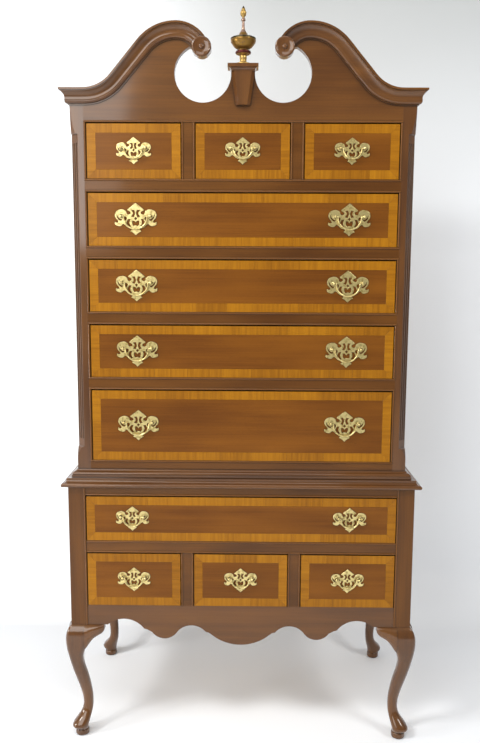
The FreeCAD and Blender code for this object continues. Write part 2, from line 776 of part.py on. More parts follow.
def case_board(label, front_depth, z):
    """A full-depth board, notched round the two corner posts."""
    front, behind = f"{CHEST_FRONT} + {front_depth}", f"{CHEST_FRONT} + corner_post_depth"
    back = f"{CHEST_BACK} - back_panel"
    return slab(label, "XY_Plane", [
        (f"-{RAIL_HALF}", behind), (f"-{RAIL_HALF}", front), (RAIL_HALF, front), (RAIL_HALF, behind),
        (BETWEEN_SIDES, behind), (BETWEEN_SIDES, back), (f"-{BETWEEN_SIDES}", back),
        (f"-{BETWEEN_SIDES}", behind),
    ], "board", z=z)


node("chest_boards", case_board("chest_bottom_board", "rail_depth", CHEST_BOTTOM),
     case_board("chest_top_board", "tympanum_depth", f"{SMALL_TOP} + top_board_rise"))

node("back_boards",
     box("base_back", (f"-{BASE_OPENING_HALF}", f"{BASE_BACK} - back_panel", "apron_top - board"),
         (BASE_OPENING_HALF, BASE_BACK, "base_top")),
     box("chest_back", (f"-{BETWEEN_SIDES}", f"{CHEST_BACK} - back_panel", CHEST_BOTTOM),
         (BETWEEN_SIDES, CHEST_BACK, "chest_top")))

chest_left, chest_right, CHEST_THIRD = divider_places(CHEST_OPENING_HALF, "chest_divider")
chest_frame = [
    beaded_rail("chest_bottom_rail_piece", CHEST_BOTTOM, FIRST_BOTTOM, RAIL_HALF, CHEST_FRONT, low=False),
    beaded_rail("chest_head_rail", SMALL_TOP, f"{SMALL_TOP} + bead", RAIL_HALF, CHEST_FRONT, low=False),
]
openings = [
    ("first", FIRST_BOTTOM, "opening_first"), ("second", SECOND_BOTTOM, "opening_second"),
    ("third", THIRD_BOTTOM, "opening_third"), ("fourth", FOURTH_BOTTOM, "opening_fourth"),
    ("small", SMALL_BOTTOM, "opening_small"),
]
for name, bottom, height in openings:
    if name != "small":
        chest_frame.append(beaded_rail(f"chest_rail_over_{name}", f"({bottom} + {height})",
                                       f"({bottom} + {height} + chest_rail)", RAIL_HALF, CHEST_FRONT))
    stile = beaded_upright(f"bead_stile_{name}", f"-{RAIL_HALF}", f"-{CHEST_OPENING_HALF}", bottom,
                           f"({bottom} + {height})", CHEST_FRONT, low=False)
    chest_frame += [stile, across(stile, f"bead_stile_{name}_right")]
for side, left in (("left", chest_left), ("right", chest_right)):
    chest_frame.append(beaded_upright(f"chest_divider_{side}", left, f"{left} + chest_divider",
                                      SMALL_BOTTOM, SMALL_TOP, CHEST_FRONT))
node("chest_front_frame", *chest_frame)


# --------------------------------------------------------------------------------------------
# Pediment: scroll board, swan-neck mouldings, rosettes, plinth, finial
# --------------------------------------------------------------------------------------------
# The scroll's middle line runs level, sweeps up, climbs straight, crowns and curls into the rosette.
def scroll_line(sign):
    """The middle line from the outer end to the rosette, as steps after the corner it starts from."""
    def along(x, z):
        return (f"{sign} (scroll_inset - {RAIL_HALF} + ({x}) * scroll_share)",
                f"cornice_middle + ({z}) * scroll_share")

    def swept(angle):
        return along(f"scroll_sweep_radius * sin({angle})", f"scroll_sweep_radius * (1 - cos({angle}))")

    climb_x = "(scroll_sweep_radius * sin(scroll_slope) + scroll_straight * cos(scroll_slope))"
    climb_z = "(scroll_sweep_radius * (1 - cos(scroll_slope)) + scroll_straight * sin(scroll_slope))"

    def crowned(angle):
        return along(f"{climb_x} + scroll_crown_radius * (sin(scroll_slope) - sin({angle}))",
                     f"{climb_z} + scroll_crown_radius * (cos({angle}) - cos(scroll_slope))")

    crown_x = f"({climb_x} + scroll_crown_radius * sin(scroll_slope))"
    crown_z = f"({climb_z} + scroll_crown_radius * (1 - cos(scroll_slope)))"

    def curled(angle):
        return along(f"{crown_x} + scroll_curl_radius * sin({angle})",
                     f"{crown_z} - scroll_curl_radius * (1 - cos({angle}))")

    return [
        along("0", "0"),
        swept("scroll_slope / 2") + swept("scroll_slope"),
        along(climb_x, climb_z),
        crowned("scroll_slope / 2") + crowned("0"),
        curled("scroll_curl / 2") + curled("scroll_curl"),
    ]


left_scroll = scroll_line("1 *")
rosette_x, rosette_z = left_scroll[-1][-2:]
right_scroll = scroll_line("-1 *")


def hollow(sign):
    """The edge of a round cut-out, from its mouth under the rosette round the bottom to the neck."""
    def at(x, z):
        return (f"{sign} (cutout_offset + {x}) * scroll_share", f"cutout_height + {z} * scroll_share")

    neck = at("-cutout_radius", "0")
    return [
        at("-cutout_radius * cos(cutout_mouth)", "cutout_radius * sin(cutout_mouth)"),
        at("0", "-cutout_radius") + neck,
        (neck[0], "plinth_body_top"),
    ]


board_bottom = f"({SMALL_TOP} + bead)"
right_hollow = backwards(hollow("1 *")[1:], hollow("1 *")[0])
scroll_board = slab("scroll_board", "XZ_Plane", [
    (f"-{RAIL_HALF}", board_bottom), (f"-{RAIL_HALF}", "cornice_middle"), *left_scroll,
    *hollow("-1 *"), *right_hollow, *backwards(right_scroll[1:], right_scroll[0]),
    (RAIL_HALF, "cornice_middle"), (RAIL_HALF, board_bottom),
], "tympanum_depth", y=f"{CHEST_FRONT} + tympanum_depth")
seat_disc = cylinder("rosette_disc", "rosette_radius - tongue_step", "tympanum_depth",
                     rosette_x, CHEST_FRONT, rosette_z, Vector(0, 1, 0))
node("tympanum", joined("Part::MultiFuse", "tympanum", [
    scroll_board, seat_disc, across(seat_disc, "rosette_disc_right")]))

# The moulding's section, as (out, up) from the case's face and the section's middle.
cornice_section = [
    ("0", "-cornice_width / 2"),
    ("cornice_proud * 0.14", "-cornice_width / 2"),
    ("cornice_proud * 0.14", "-cornice_width * 0.43"),
    ("cornice_proud * 0.37", "-cornice_width * 0.39", "cornice_proud * 0.44", "-cornice_width * 0.27"),
    ("cornice_proud * 0.46", "-cornice_width * 0.2"),
    ("cornice_proud * 0.53", "cornice_width * 0.12", "cornice_proud * 0.88", "cornice_width * 0.32"),
    ("cornice_proud * 0.88", "cornice_width * 0.37"),
    ("cornice_proud", "cornice_width * 0.37"),
    ("cornice_proud", "cornice_width / 2"),
    ("0", "cornice_width / 2"),
]


def placed_section(base, sign):
    return [tuple(f"{base} {sign} ({text})" if i % 2 == 0 else f"cornice_middle + {text}"
                  for i, text in enumerate(step)) for step in cornice_section]


def swan_neck():
    """The left scroll moulding: the section swept up the scroll, mitred outside, let in to the rosette."""
    start = f"-{CHEST_HALF} - waist_strip"
    section = doc.addObject("Sketcher::SketchObject", "cornice_section")
    section.Placement = FreeCAD.Placement(Vector(), TURNS["YZ_Plane"])
    bind(section, Placement__Base__x=start)
    draw(section, placed_section(CHEST_FRONT, "-"))
    spine = doc.addObject("Sketcher::SketchObject", "scroll_spine")
    spine.Placement = FreeCAD.Placement(Vector(), TURNS["XZ_Plane"])
    bind(spine, Placement__Base__y=CHEST_FRONT)
    draw(spine, [(start, "cornice_middle"), *left_scroll], closed=False)
    sweep = doc.addObject("Part::Sweep", "scroll_sweep")
    sweep.Sections = [section]
    sweep.Spine = (spine, [])
    sweep.Solid = True
    wedge = mitre_wedge("cornice_front_wedge", f"-{CHEST_HALF}", CHEST_FRONT, True)
    seat = cylinder("rosette_seat", "rosette_radius + fit_gap", "cornice_proud * 2",
                    rosette_x, f"{CHEST_FRONT} + fit_gap", rosette_z, Vector(0, -1, 0))
    return cut("swan_neck_left", cut("scroll_mitred", sweep, wedge), seat)


neck = swan_neck()
return_bar = prism("return_bar", "XZ_Plane", placed_section(f"-{CHEST_HALF}", "-"),
                   CHEST_BACK, f"{CHEST_BACK} - {CHEST_FRONT} + waist_strip", Vector(0, -1, 0))
cornice_return = cut("cornice_return", return_bar,
                     mitre_wedge("cornice_side_wedge", f"-{CHEST_HALF}", CHEST_FRONT, False))
node("cornice", neck, cornice_return, across(neck, "swan_neck_right"),
     across(cornice_return, "cornice_return_right"))

# Turned rosette: rounded rim, dished face and button. Its axis points at the viewer.
rosette = turned("rosette", [
    ("0", "0"), ("rosette_radius", "0"), ("rosette_radius", "rosette_proud * 0.8"),
    ("rosette_radius * 0.95", "rosette_proud * 0.92", "rosette_radius * 0.84", "rosette_proud * 0.94"),
    ("rosette_radius * 0.52", "rosette_proud * 0.87", "rosette_radius * 0.24", "rosette_proud * 0.86"),
    ("rosette_radius * 0.19", "rosette_proud * 0.97", "rosette_radius * 0.05", "rosette_proud"),
    ("0", "rosette_proud"),
])
rosette.Placement = FreeCAD.Placement(Vector(), FreeCAD.Rotation(Vector(1, 0, 0), 90))
bind(rosette, Placement__Base__x=rosette_x, Placement__Base__y=CHEST_FRONT, Placement__Base__z=rosette_z)
node("rosettes", rosette, across(rosette, "rosette_right"))


def plinth_stage(body, name, width, height, proud):
    """One level of the plinth: a rectangle with its two front corners taken off."""
    half, side = f"{width} / 2", f"{proud} - plinth_chamfer"
    return sketch_in(body, name, "XY_Plane", [
        (f"-({half})", "0"), (f"-({half})", f"-({side})"),
        (f"-({half}) + plinth_chamfer", f"-({proud})"), (f"{half} - plinth_chamfer", f"-({proud})"),
        (half, f"-({side})"), (half, "0"),
    ], height)


plinth_body = body_at("plinth_body", y=CHEST_FRONT)
keystone = plinth_body.newObject("PartDesign::AdditiveLoft", "keystone")
keystone.Profile = plinth_stage(plinth_body, "keystone_foot", "plinth_bottom_width", "plinth_bottom",
                                "plinth_proud")
keystone.Sections = [plinth_stage(plinth_body, "keystone_head", "plinth_top_width", "plinth_body_top",
                                  "plinth_proud")]
keystone.Ruled = True

cap_depth = "tympanum_depth + plinth_proud"
cap_section = [
    ("plinth_top_width / 2", "plinth_body_top"),
    ("plinth_top_width / 2 + plinth_cap_overhang * 0.15", "plinth_body_top + plinth_cap_height * 0.3",
     "plinth_top_width / 2 + plinth_cap_overhang * 0.75", "plinth_body_top + plinth_cap_height * 0.5"),
    ("plinth_top_width / 2 + plinth_cap_overhang", "plinth_body_top + plinth_cap_height * 0.5"),
    ("plinth_top_width / 2 + plinth_cap_overhang", "plinth_body_top + plinth_cap_height"),
]
cap_across = prism("cap_across", "XZ_Plane",
                   cap_section + [(f"-({step[-2]})", step[-1]) for step in cap_section[:1:-1]]
                   + [(f"-({cap_section[1][0]})", cap_section[1][1],
                       f"-({cap_section[0][0]})", cap_section[0][1])],
                   f"{CHEST_FRONT} + tympanum_depth", f"{cap_depth} + plinth_cap_overhang", Vector(0, -1, 0))
cap_front = [tuple(f"{CHEST_FRONT} - plinth_proud + plinth_top_width / 2 - ({text})" if i % 2 == 0
                   else text for i, text in enumerate(step)) for step in cap_section]
cap_along = prism("cap_along", "YZ_Plane",
                  cap_front + [(f"{CHEST_FRONT} + tympanum_depth", cap_front[-1][-1]),
                               (f"{CHEST_FRONT} + tympanum_depth", "plinth_body_top")],
                  "-plinth_top_width", "2 * plinth_top_width", Vector(1, 0, 0))
plinth_cap = doc.addObject("Part::Common", "plinth_cap")
plinth_cap.Base = cap_across
plinth_cap.Tool = cap_along
node("plinth", plinth_body, plinth_cap)

PLINTH_TOP = "(plinth_body_top + plinth_cap_height)"


def finial_turning(label, bottom, stations):
    """A turning of the finial. Each station is (radius, share of the finial's height), as in draw."""
    steps = [("0", f"finial_height * {bottom}")]
    for station in stations:
        steps.append(tuple(text if i % 2 == 0 else f"finial_height * {text}"
                           for i, text in enumerate(station)))
    steps.append(("0", steps[-1][-1]))
    if steps[-1] == steps[-2]:
        steps.pop()
    return turned(label, steps, y=CHEST_FRONT, z=PLINTH_TOP)


foot, ring, bowl = "finial_foot_radius", "finial_ring_radius", "finial_bowl_radius"
stem, spire, bulb = "finial_stem_radius", "finial_spire_radius", "finial_tip_radius"
finial_base = finial_turning("finial_base", 0, [
    (foot, 0), (f"{foot} * 1.03", 0.012, foot, 0.024),
    (f"{stem} * 1.25", 0.04, stem, 0.085),
    (f"{stem} * 1.14", 0.125, stem, 0.17), (f"{stem} * 1.4", 0.187),
])
finial_urn = finial_turning("finial_urn", 0.187, [
    (f"{ring} * 0.7", 0.187), (f"{ring} * 0.97", 0.195, ring, 0.211),
    (f"{ring} * 0.97", 0.227, f"{ring} * 0.7", 0.235), (f"{stem} * 1.3", 0.25), (f"{stem} * 1.4", 0.264),
    (f"{bowl} * 0.66", 0.296, f"{bowl} * 0.86", 0.35), (f"{bowl} * 0.98", 0.392, bowl, 0.43),
    (bowl, 0.452), (f"{bowl} * 0.9", 0.463),
    (f"{bowl} * 0.52", 0.482, f"{bowl} * 0.33", 0.53), (f"{spire} * 1.35", 0.6),
])
finial_spire = finial_turning("finial_spire", 0.6, [
    (f"{spire} * 1.35", 0.6), (spire, 0.68, spire, 0.745), (f"{spire} * 1.7", 0.765, spire, 0.79),
    (f"{spire} * 1.1", 0.82), (bulb, 0.86, f"{bulb} * 0.72", 0.93),
    (f"{bulb} * 0.45", 0.97, f"{bulb} * 0.1", 1),
])
node("finial", finial_base, finial_urn, finial_spire)


# --------------------------------------------------------------------------------------------
# Runners, guides and stops
# --------------------------------------------------------------------------------------------
CASES = {
    "base": {"front": BASE_FRONT, "back": BASE_BACK, "opening": BASE_OPENING_HALF,
             "side": f"({BASE_HALF} - panel)", "post": "base_post",
             "side_back": f"({BASE_BACK} - base_post)", "divider": "base_divider",
             "dividers": (base_left, base_right)},
    "chest": {"front": CHEST_FRONT, "back": CHEST_BACK, "opening": CHEST_OPENING_HALF,
              "side": BETWEEN_SIDES, "post": "corner_post_depth",
              "side_back": f"({CHEST_BACK} - back_panel)", "divider": "chest_divider",
              "dividers": (chest_left, chest_right)},
}
LONG, SMALL = "long", "small"
LEVELS = [
    ("base_small", "base", SMALL, "apron_top", "base_small_opening"),
    ("base_long", "base", LONG, BASE_LONG_BOTTOM, "base_long_opening"),
    ("chest_first", "chest", LONG, FIRST_BOTTOM, "opening_first"),
    ("chest_second", "chest", LONG, SECOND_BOTTOM, "opening_second"),
    ("chest_third", "chest", LONG, THIRD_BOTTOM, "opening_third"),
    ("chest_fourth", "chest", LONG, FOURTH_BOTTOM, "opening_fourth"),
    ("chest_small", "chest", SMALL, SMALL_BOTTOM, "opening_small"),
]


def drawer_places(level, case, kind):
    """The name, left edge and width of each opening on a level."""
    if kind == LONG:
        return [(level, f"(-{case['opening']})", f"(2 * {case['opening']})")]
    third = f"((2 * {case['opening']} - 2 * {case['divider']}) / 3)"
    lefts = (f"(-{case['opening']})", f"({case['dividers'][0]} + {case['divider']})",
             f"({case['dividers'][1]} + {case['divider']})")
    return [(f"{level}_{side}", left, third) for side, left in zip(("left", "middle", "right"), lefts)]


def level_supports(level, case, kind, bottom):
    """Side runners with guides, runners behind the dividers, and a stop for every drawer."""
    start = f"{case['front']} + {case['post']}"
    runner = box(f"runner_{level}", (f"-{case['side']}", start, f"{bottom} - runner_height"),
                 (f"-{case['opening']} + runner_lip", case["side_back"], bottom))
    guide = box(f"guide_{level}", (f"-{case['side']}", start, bottom),
                (f"-{case['opening']}", case["side_back"], f"{bottom} + guide_height"))
    pieces = [runner, guide, across(runner, f"runner_{level}_right"), across(guide, f"guide_{level}_right")]
    start, back = f"{case['front']} + rail_depth", f"{case['back']} - back_panel"
    for side, left in zip(("left", "right"), case["dividers"] if kind == SMALL else ()):
        right = f"{left} + {case['divider']}"
        pieces.append(box(f"middle_runner_{level}_{side}",
                          (f"{left} - runner_lip", start, f"{bottom} - runner_height"),
                          (f"{right} + runner_lip", back, bottom)))
        pieces.append(box(f"middle_guide_{level}_{side}", (left, start, bottom),
                          (right, back, f"{bottom} + guide_height")))
    for name, left, width in drawer_places(level, case, kind):
        for end, middle in (("left", f"{left} + {width} * 0.25"), ("right", f"{left} + {width} * 0.75")):
            pieces.append(box(
                f"stop_{name}_{end}",
                (f"{middle} - stop_length / 2", f"{case['front']} + drawer_front + fit_gap", bottom),
                (f"{middle} + stop_length / 2", f"{case['front']} + rail_depth",
                 f"{bottom} + stop_height")))
    return pieces


supports = []
for level, case, kind, bottom, height in LEVELS:
    supports += level_supports(level, CASES[case], kind, bottom)
node("drawer_runners", *supports)


# --------------------------------------------------------------------------------------------
# Drawers
# --------------------------------------------------------------------------------------------
def dovetails(name, outer, start, behind, bottom, top):
    """Four tails that reach forward from a side board, each wider at its tip than at its root."""
    sketch = doc.addObject("Sketcher::SketchObject", f"{name}_tails_outline")
    sketch.Placement = FreeCAD.Placement(Vector(), TURNS["YZ_Plane"])
    bind(sketch, Placement__Base__x=outer)
    pitch = f"(({top} - ({bottom})) / 4)"
    for index in range(4):
        middle = f"{bottom} + {pitch} * {index + 0.5}"
        root, tip = f"({pitch} * 0.36 - dovetail_flare)", f"({pitch} * 0.36)"
        draw(sketch, [(behind, f"{middle} - {root}"), (behind, f"{middle} + {root}"),
                      (start, f"{middle} + {tip}"), (start, f"{middle} - {tip}")])
    tails = doc.addObject("Part::Extrusion", f"{name}_tails")
    tails.Base = sketch
    tails.DirMode = "Custom"
    tails.Dir = Vector(1, 0, 0)
    tails.Solid = True
    bind(tails, LengthFwd="drawer_side")
    return tails


def drawer(name, left, width, bottom, height, case):
    """An open box of five boards: the front dovetailed to the sides, the bottom run under the back."""
    x0, x1 = f"{left} + drawer_side_gap", f"{left} + {width} - drawer_side_gap"
    z0, z1 = f"{bottom} + fit_gap", f"{bottom} + {height} - drawer_top_gap"
    y0, y1 = case["front"], f"{case['back']} - back_panel - drawer_back_gap"
    behind, inside_left, inside_right = f"{y0} + drawer_front", f"{x0} + drawer_side", f"{x1} - drawer_side"
    floor, low_top = f"{z0} + drawer_bottom_raise", f"{z1} - drawer_side_drop"
    tails = dovetails(name, x0, f"{y0} + drawer_lap", behind, z0, low_top)
    right_tails = mirrored(tails, f"{name}_right_tails", Vector(1, 0, 0), f"{left} + {width} / 2")
    plain_front = box(f"{name}_plain_front", (x0, y0, z0), (x1, behind, z1))
    plain_side = box(f"{name}_plain_side", (x0, behind, z0), (inside_left, y1, low_top))
    side = joined("Part::MultiFuse", f"{name}_left_side", [plain_side, tails])
    side.Refine = True
    return [
        cut(f"{name}_front", plain_front, joined("Part::Compound", f"{name}_sockets", [tails, right_tails])),
        side, mirrored(side, f"{name}_right_side", Vector(1, 0, 0), f"{left} + {width} / 2"),
        box(f"{name}_bottom", (inside_left, behind, floor), (inside_right, y1, f"{floor} + drawer_bottom")),
        box(f"{name}_back", (inside_left, f"{y1} - drawer_back", f"{floor} + drawer_bottom"),
            (inside_right, y1, low_top)),
    ]


# --------------------------------------------------------------------------------------------
# Pulls: pierced plates, posts with ball heads, swinging bails
# --------------------------------------------------------------------------------------------
def round_hole(x, z, radius):
    return [(x, f"{z} + {radius}", f"{x} - {radius}", z), (x, f"{z} - {radius}", f"{x} + {radius}", z)]


def pierced_plate(label, width):
    """A bat-wing plate with its middle at the origin and its back on the XZ plane.

    Places are shares of the plate's width: out from the middle, and up. One half is cut and mirrored.
    """
    def scaled(steps):
        return [tuple(f"{share} * {width}" for share in step) for step in steps]

    outline = [
        (0.0, -0.381), (0.0, 0.379), (0.196, 0.222), (0.186, 0.205),    # pointed cap and its corner
        (0.118, 0.172), (0.118, 0.12, 0.186, 0.107),                    # notch beside the ear
        (0.214, 0.125, 0.22, 0.175),
        (0.3, 0.226, 0.384, 0.219),                                     # top of the ear
        (0.475, 0.196, 0.5, 0.1), (0.482, 0.03),                        # its outer edge
        (0.44, -0.01, 0.408, -0.065),                                   # waist under the ear
        (0.445, -0.08, 0.495, -0.06), (0.49, -0.14, 0.42, -0.16),       # curled lower tip
        (0.35, -0.165, 0.305, -0.118), (0.27, -0.125),
        (0.2, -0.2, 0.1, -0.226), (0.108, -0.262, 0.13, -0.292),        # body and pendant
        (0.06, -0.318, 0.0, -0.381),
    ]
    upper_bar = [(0.018, 0.135), (0.05, 0.205), (0.082, 0.205), (0.05, 0.14), (0.088, 0.062),
                 (0.058, 0.052)]
    lower_bar = [(0.02, -0.092), (0.046, -0.052), (0.068, -0.052), (0.068, -0.148), (0.042, -0.156),
                 (0.02, -0.128)]
    side_slot = [(0.142, -0.016), (0.175, -0.08, 0.14, -0.152), (0.16, -0.15),
                 (0.21, -0.08, 0.164, -0.016)]
    half_diamond = [(0.0, 0.04), (0.026, 0.015), (0.0, -0.01)]

    half = body_at(f"{label}_half")
    pad = half.newObject("PartDesign::Pad", f"{label}_pad")
    pad.Profile = sketch_in(half, f"{label}_outline", "XZ_Plane", scaled(outline))
    bind(pad, Length="plate_depth")
    voids = sketch_in(half, f"{label}_voids", "XZ_Plane", scaled(upper_bar), "plate_depth")
    for void in (lower_bar, side_slot, half_diamond):
        draw(voids, scaled(void))
    draw(voids, round_hole(f"0.24 * {width}", f"0.015 * {width}", f"0.028 * {width}"))
    draw(voids, round_hole(f"0.428 * {width}", f"0.125 * {width}", f"0.03 * {width}"))
    pierced = half.newObject("PartDesign::Pocket", f"{label}_piercing")
    pierced.Profile = voids
    bind(pierced, Length="plate_depth")
    whole = joined("Part::MultiFuse", label, [half, across(half, f"{label}_left_half")])
    whole.Refine = True
    return whole


def post(label, x, raised):
    """A post that stands on the plate, with a ball head bored across for the bail."""
    stem = cylinder(f"{label}_stem", "post_radius", "post_reach - plate_depth", x, "-plate_depth", raised,
                    Vector(0, -1, 0))
    collar = cylinder(f"{label}_collar", "post_collar_radius", "plate_depth", x, "-plate_depth", raised,
                      Vector(0, -1, 0))
    head = ball(f"{label}_ball", "post_ball", x, "-post_reach", raised)
    whole = joined("Part::MultiFuse", f"{label}_whole", [stem, collar, head])
    bore = cylinder(f"{label}_bore", "bail_wire + bail_play", "4 * post_ball", f"{x} - 2 * post_ball",
                    "-post_reach", raised, Vector(1, 0, 0))
    return cut(label, whole, bore)


def bail(label, boring):
    """A round wire bent to a half circle, hanging from the origin, with an end turned into each post."""
    turn_end = f"({boring} / 2 - post_ball)"
    arch = f"({turn_end} - bail_turn)"
    slant = "bail_turn * (1 - sqrt(0.5))"
    tip = f"({boring} / 2 + post_ball / 2)"
    spine = doc.addObject("Sketcher::SketchObject", f"{label}_line")
    spine.Placement = FreeCAD.Placement(Vector(), TURNS["XZ_Plane"])
    draw(spine, [
        (f"-{tip}", "0"), (f"-{turn_end}", "0"),
        (f"-({arch} + {slant})", f"-({slant})", f"-{arch}", "-bail_turn"),
        ("0", f"-bail_turn - {arch}", arch, "-bail_turn"),
        (f"{arch} + {slant}", f"-({slant})", turn_end, "0"), (tip, "0"),
    ], closed=False)
    section = doc.addObject("Sketcher::SketchObject", f"{label}_section")
    section.Placement = FreeCAD.Placement(Vector(), TURNS["YZ_Plane"])
    bind(section, Placement__Base__x=f"-{tip}")
    draw(section, round_hole("0", "0", "bail_wire"))
    sweep = doc.addObject("Part::Sweep", label)
    sweep.Sections = [section]
    sweep.Spine = (spine, [])
    sweep.Solid = True
    return sweep


def pull_master(size, width, boring):
    """The plate with its posts, and the bail, at the origin."""
    raised = f"pivot_raise * {width} / large_plate"
    left_post = post(f"{size}_post", f"-{boring} / 2", raised)
    fixed = joined("Part::Compound", f"{size}_pull",
                   [pierced_plate(f"{size}_plate", width), left_post,
                    across(left_post, f"{size}_post_right")])
    return fixed, bail(f"{size}_bail", boring), raised


LARGE_PULL = pull_master("large", "large_plate", "large_boring")
SMALL_PULL = pull_master("small", "small_plate", "small_boring")

for level, case_name, kind, bottom, height in LEVELS:
    case = CASES[case_name]
    for name, left, width in drawer_places(level, case, kind):
        node(f"drawer_{name}", *drawer(name, left, width, bottom, height, case))
        middle = f"({left} + {width} / 2)"
        middle_height = f"({bottom} + {height} / 2)"
        inset = "base_pull_inset" if case_name == "base" else "long_pull_inset"
        places = [("", middle)] if kind == SMALL else [
            ("_left", f"({left} + {inset})"), ("_right", f"(-{left} - {inset})")]
        fixed, swinging, raised = SMALL_PULL if level == "base_long" or kind == SMALL else LARGE_PULL
        plates = [copy_at(fixed, f"plate_{name}{side}", x, case["front"], middle_height)
                  for side, x in places]
        node(f"plates_{name}", *plates)
        for side, x in places:
            node(f"bail_{name}{side}", copy_at(swinging, f"bail_copy_{name}{side}", x,
                                               f"{case['front']} - post_reach",
                                               f"{middle_height} + {raised}"))


# --------------------------------------------------------------------------------------------
# Check and write every sub-part
# --------------------------------------------------------------------------------------------
doc.recompute()
for thing in doc.Objects:
    if "Invalid" in thing.State or "Error" in thing.State:
        raise RuntimeError(f"{thing.Label} failed: {thing.State}")
for thing in NODES:
    if thing.Shape.isNull() or not thing.Shape.isValid():
        raise RuntimeError(f"{thing.Label} has no valid shape")
os.makedirs("parts", exist_ok=True)
for thing in NODES:
    thing.Shape.exportStep(f"parts/{thing.Label}.step")
print(f"{len(NODES)} sub-parts written")
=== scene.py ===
"""The looks of a highboy: lacquered mahogany, satinwood crossbanding, pierced brass and gilding.

Metres. +Z is up, +X is to the right of a person who faces the drawers, which open towards -Y.
"""

import json
import math
import random

import bmesh
import bpy
from mathutils import Matrix, Vector
from mathutils.geometry import delaunay_2d_cdt, interpolate_bezier

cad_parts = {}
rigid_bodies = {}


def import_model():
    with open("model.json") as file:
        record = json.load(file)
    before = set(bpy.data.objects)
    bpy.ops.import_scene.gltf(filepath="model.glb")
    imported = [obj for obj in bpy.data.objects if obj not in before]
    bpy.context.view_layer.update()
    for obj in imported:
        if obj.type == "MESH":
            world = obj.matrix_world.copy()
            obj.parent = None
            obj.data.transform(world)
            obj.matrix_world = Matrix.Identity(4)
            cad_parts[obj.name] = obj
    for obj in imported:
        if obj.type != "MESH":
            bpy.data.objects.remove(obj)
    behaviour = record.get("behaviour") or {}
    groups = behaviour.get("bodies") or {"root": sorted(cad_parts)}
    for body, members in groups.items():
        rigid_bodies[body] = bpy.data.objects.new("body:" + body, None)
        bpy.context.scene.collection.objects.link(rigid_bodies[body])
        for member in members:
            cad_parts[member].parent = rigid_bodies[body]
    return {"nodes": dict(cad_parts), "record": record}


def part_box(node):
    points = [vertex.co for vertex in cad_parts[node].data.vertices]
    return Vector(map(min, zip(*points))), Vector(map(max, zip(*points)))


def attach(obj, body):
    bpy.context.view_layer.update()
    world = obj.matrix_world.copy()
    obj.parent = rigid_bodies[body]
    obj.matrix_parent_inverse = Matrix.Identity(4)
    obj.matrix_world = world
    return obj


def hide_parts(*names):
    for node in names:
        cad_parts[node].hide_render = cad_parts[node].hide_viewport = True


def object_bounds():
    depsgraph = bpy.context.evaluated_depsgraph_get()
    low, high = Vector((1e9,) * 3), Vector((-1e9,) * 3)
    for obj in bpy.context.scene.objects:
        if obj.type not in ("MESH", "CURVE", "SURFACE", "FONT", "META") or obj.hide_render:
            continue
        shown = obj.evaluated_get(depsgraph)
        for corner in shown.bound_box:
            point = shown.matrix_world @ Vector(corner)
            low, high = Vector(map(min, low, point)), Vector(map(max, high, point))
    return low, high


bl_info = {
    "name": "Highboy",
    "version": (1, 0, 0),
    "blender": (4, 5, 0),
    "location": "3D View > Sidebar > Highboy",
    "description": "Dresses a highboy in mahogany, satinwood, brass and gilding, and sets its stage",
    "category": "Object",
}

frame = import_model()
NODES = frame["nodes"]
BODIES = frame["record"]["behaviour"]["bodies"]
CAD_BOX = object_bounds()
DRAWERS = sorted(name for name in NODES if name.startswith("drawer_") and name in BODIES)

# CAD nodes by the way their wood is cut: carved and turned work and panels with upright grain, boards
# with level grain, and mouldings whose grain turns a corner with them.
CARVED = ["leg_front_left", "leg_front_right", "leg_rear_left", "leg_rear_right", "knee_blocks",
          "fluted_corners", "plinth", "rosettes"]
UPRIGHT = ["base_sides", "chest_sides"]
LEVEL = ["base_apron", "tympanum"]
MITRED = ["waist_moulding", "chest_foot_moulding", "cornice"]

# Dovetails on each drawer side, and half of a tail's width at its tip as a share of their spacing.
TAILS = 4
HALF_TAIL = 0.36
# Places of the two veneers in a drawer front's materials.
FIELD, BAND = 0, 1
# How much of a veneer leaf's slab is rounded off at its front edges.
EASED_SHARE = 0.2
FLOOR_RADIUS = 14.0


def linear(text):
    """A hex colour such as #6b3a20, as the linear colour that shaders take."""
    parts = [int(text[i:i + 2], 16) / 255 for i in (1, 3, 5)]
    return [c / 12.92 if c <= 0.04045 else ((c + 0.055) / 1.055) ** 2.4 for c in parts] + [1.0]


# --------------------------------------------------------------------------------------------
# Sizes and colours
# --------------------------------------------------------------------------------------------
def colour(name, description, default):
    return bpy.props.FloatVectorProperty(name=name, description=description, default=linear(default),
                                         size=4, min=0, max=1, subtype="COLOR")


def length(name, description, default):
    return bpy.props.FloatProperty(name=name, description=description, default=default, min=0,
                                   unit="LENGTH", subtype="DISTANCE")


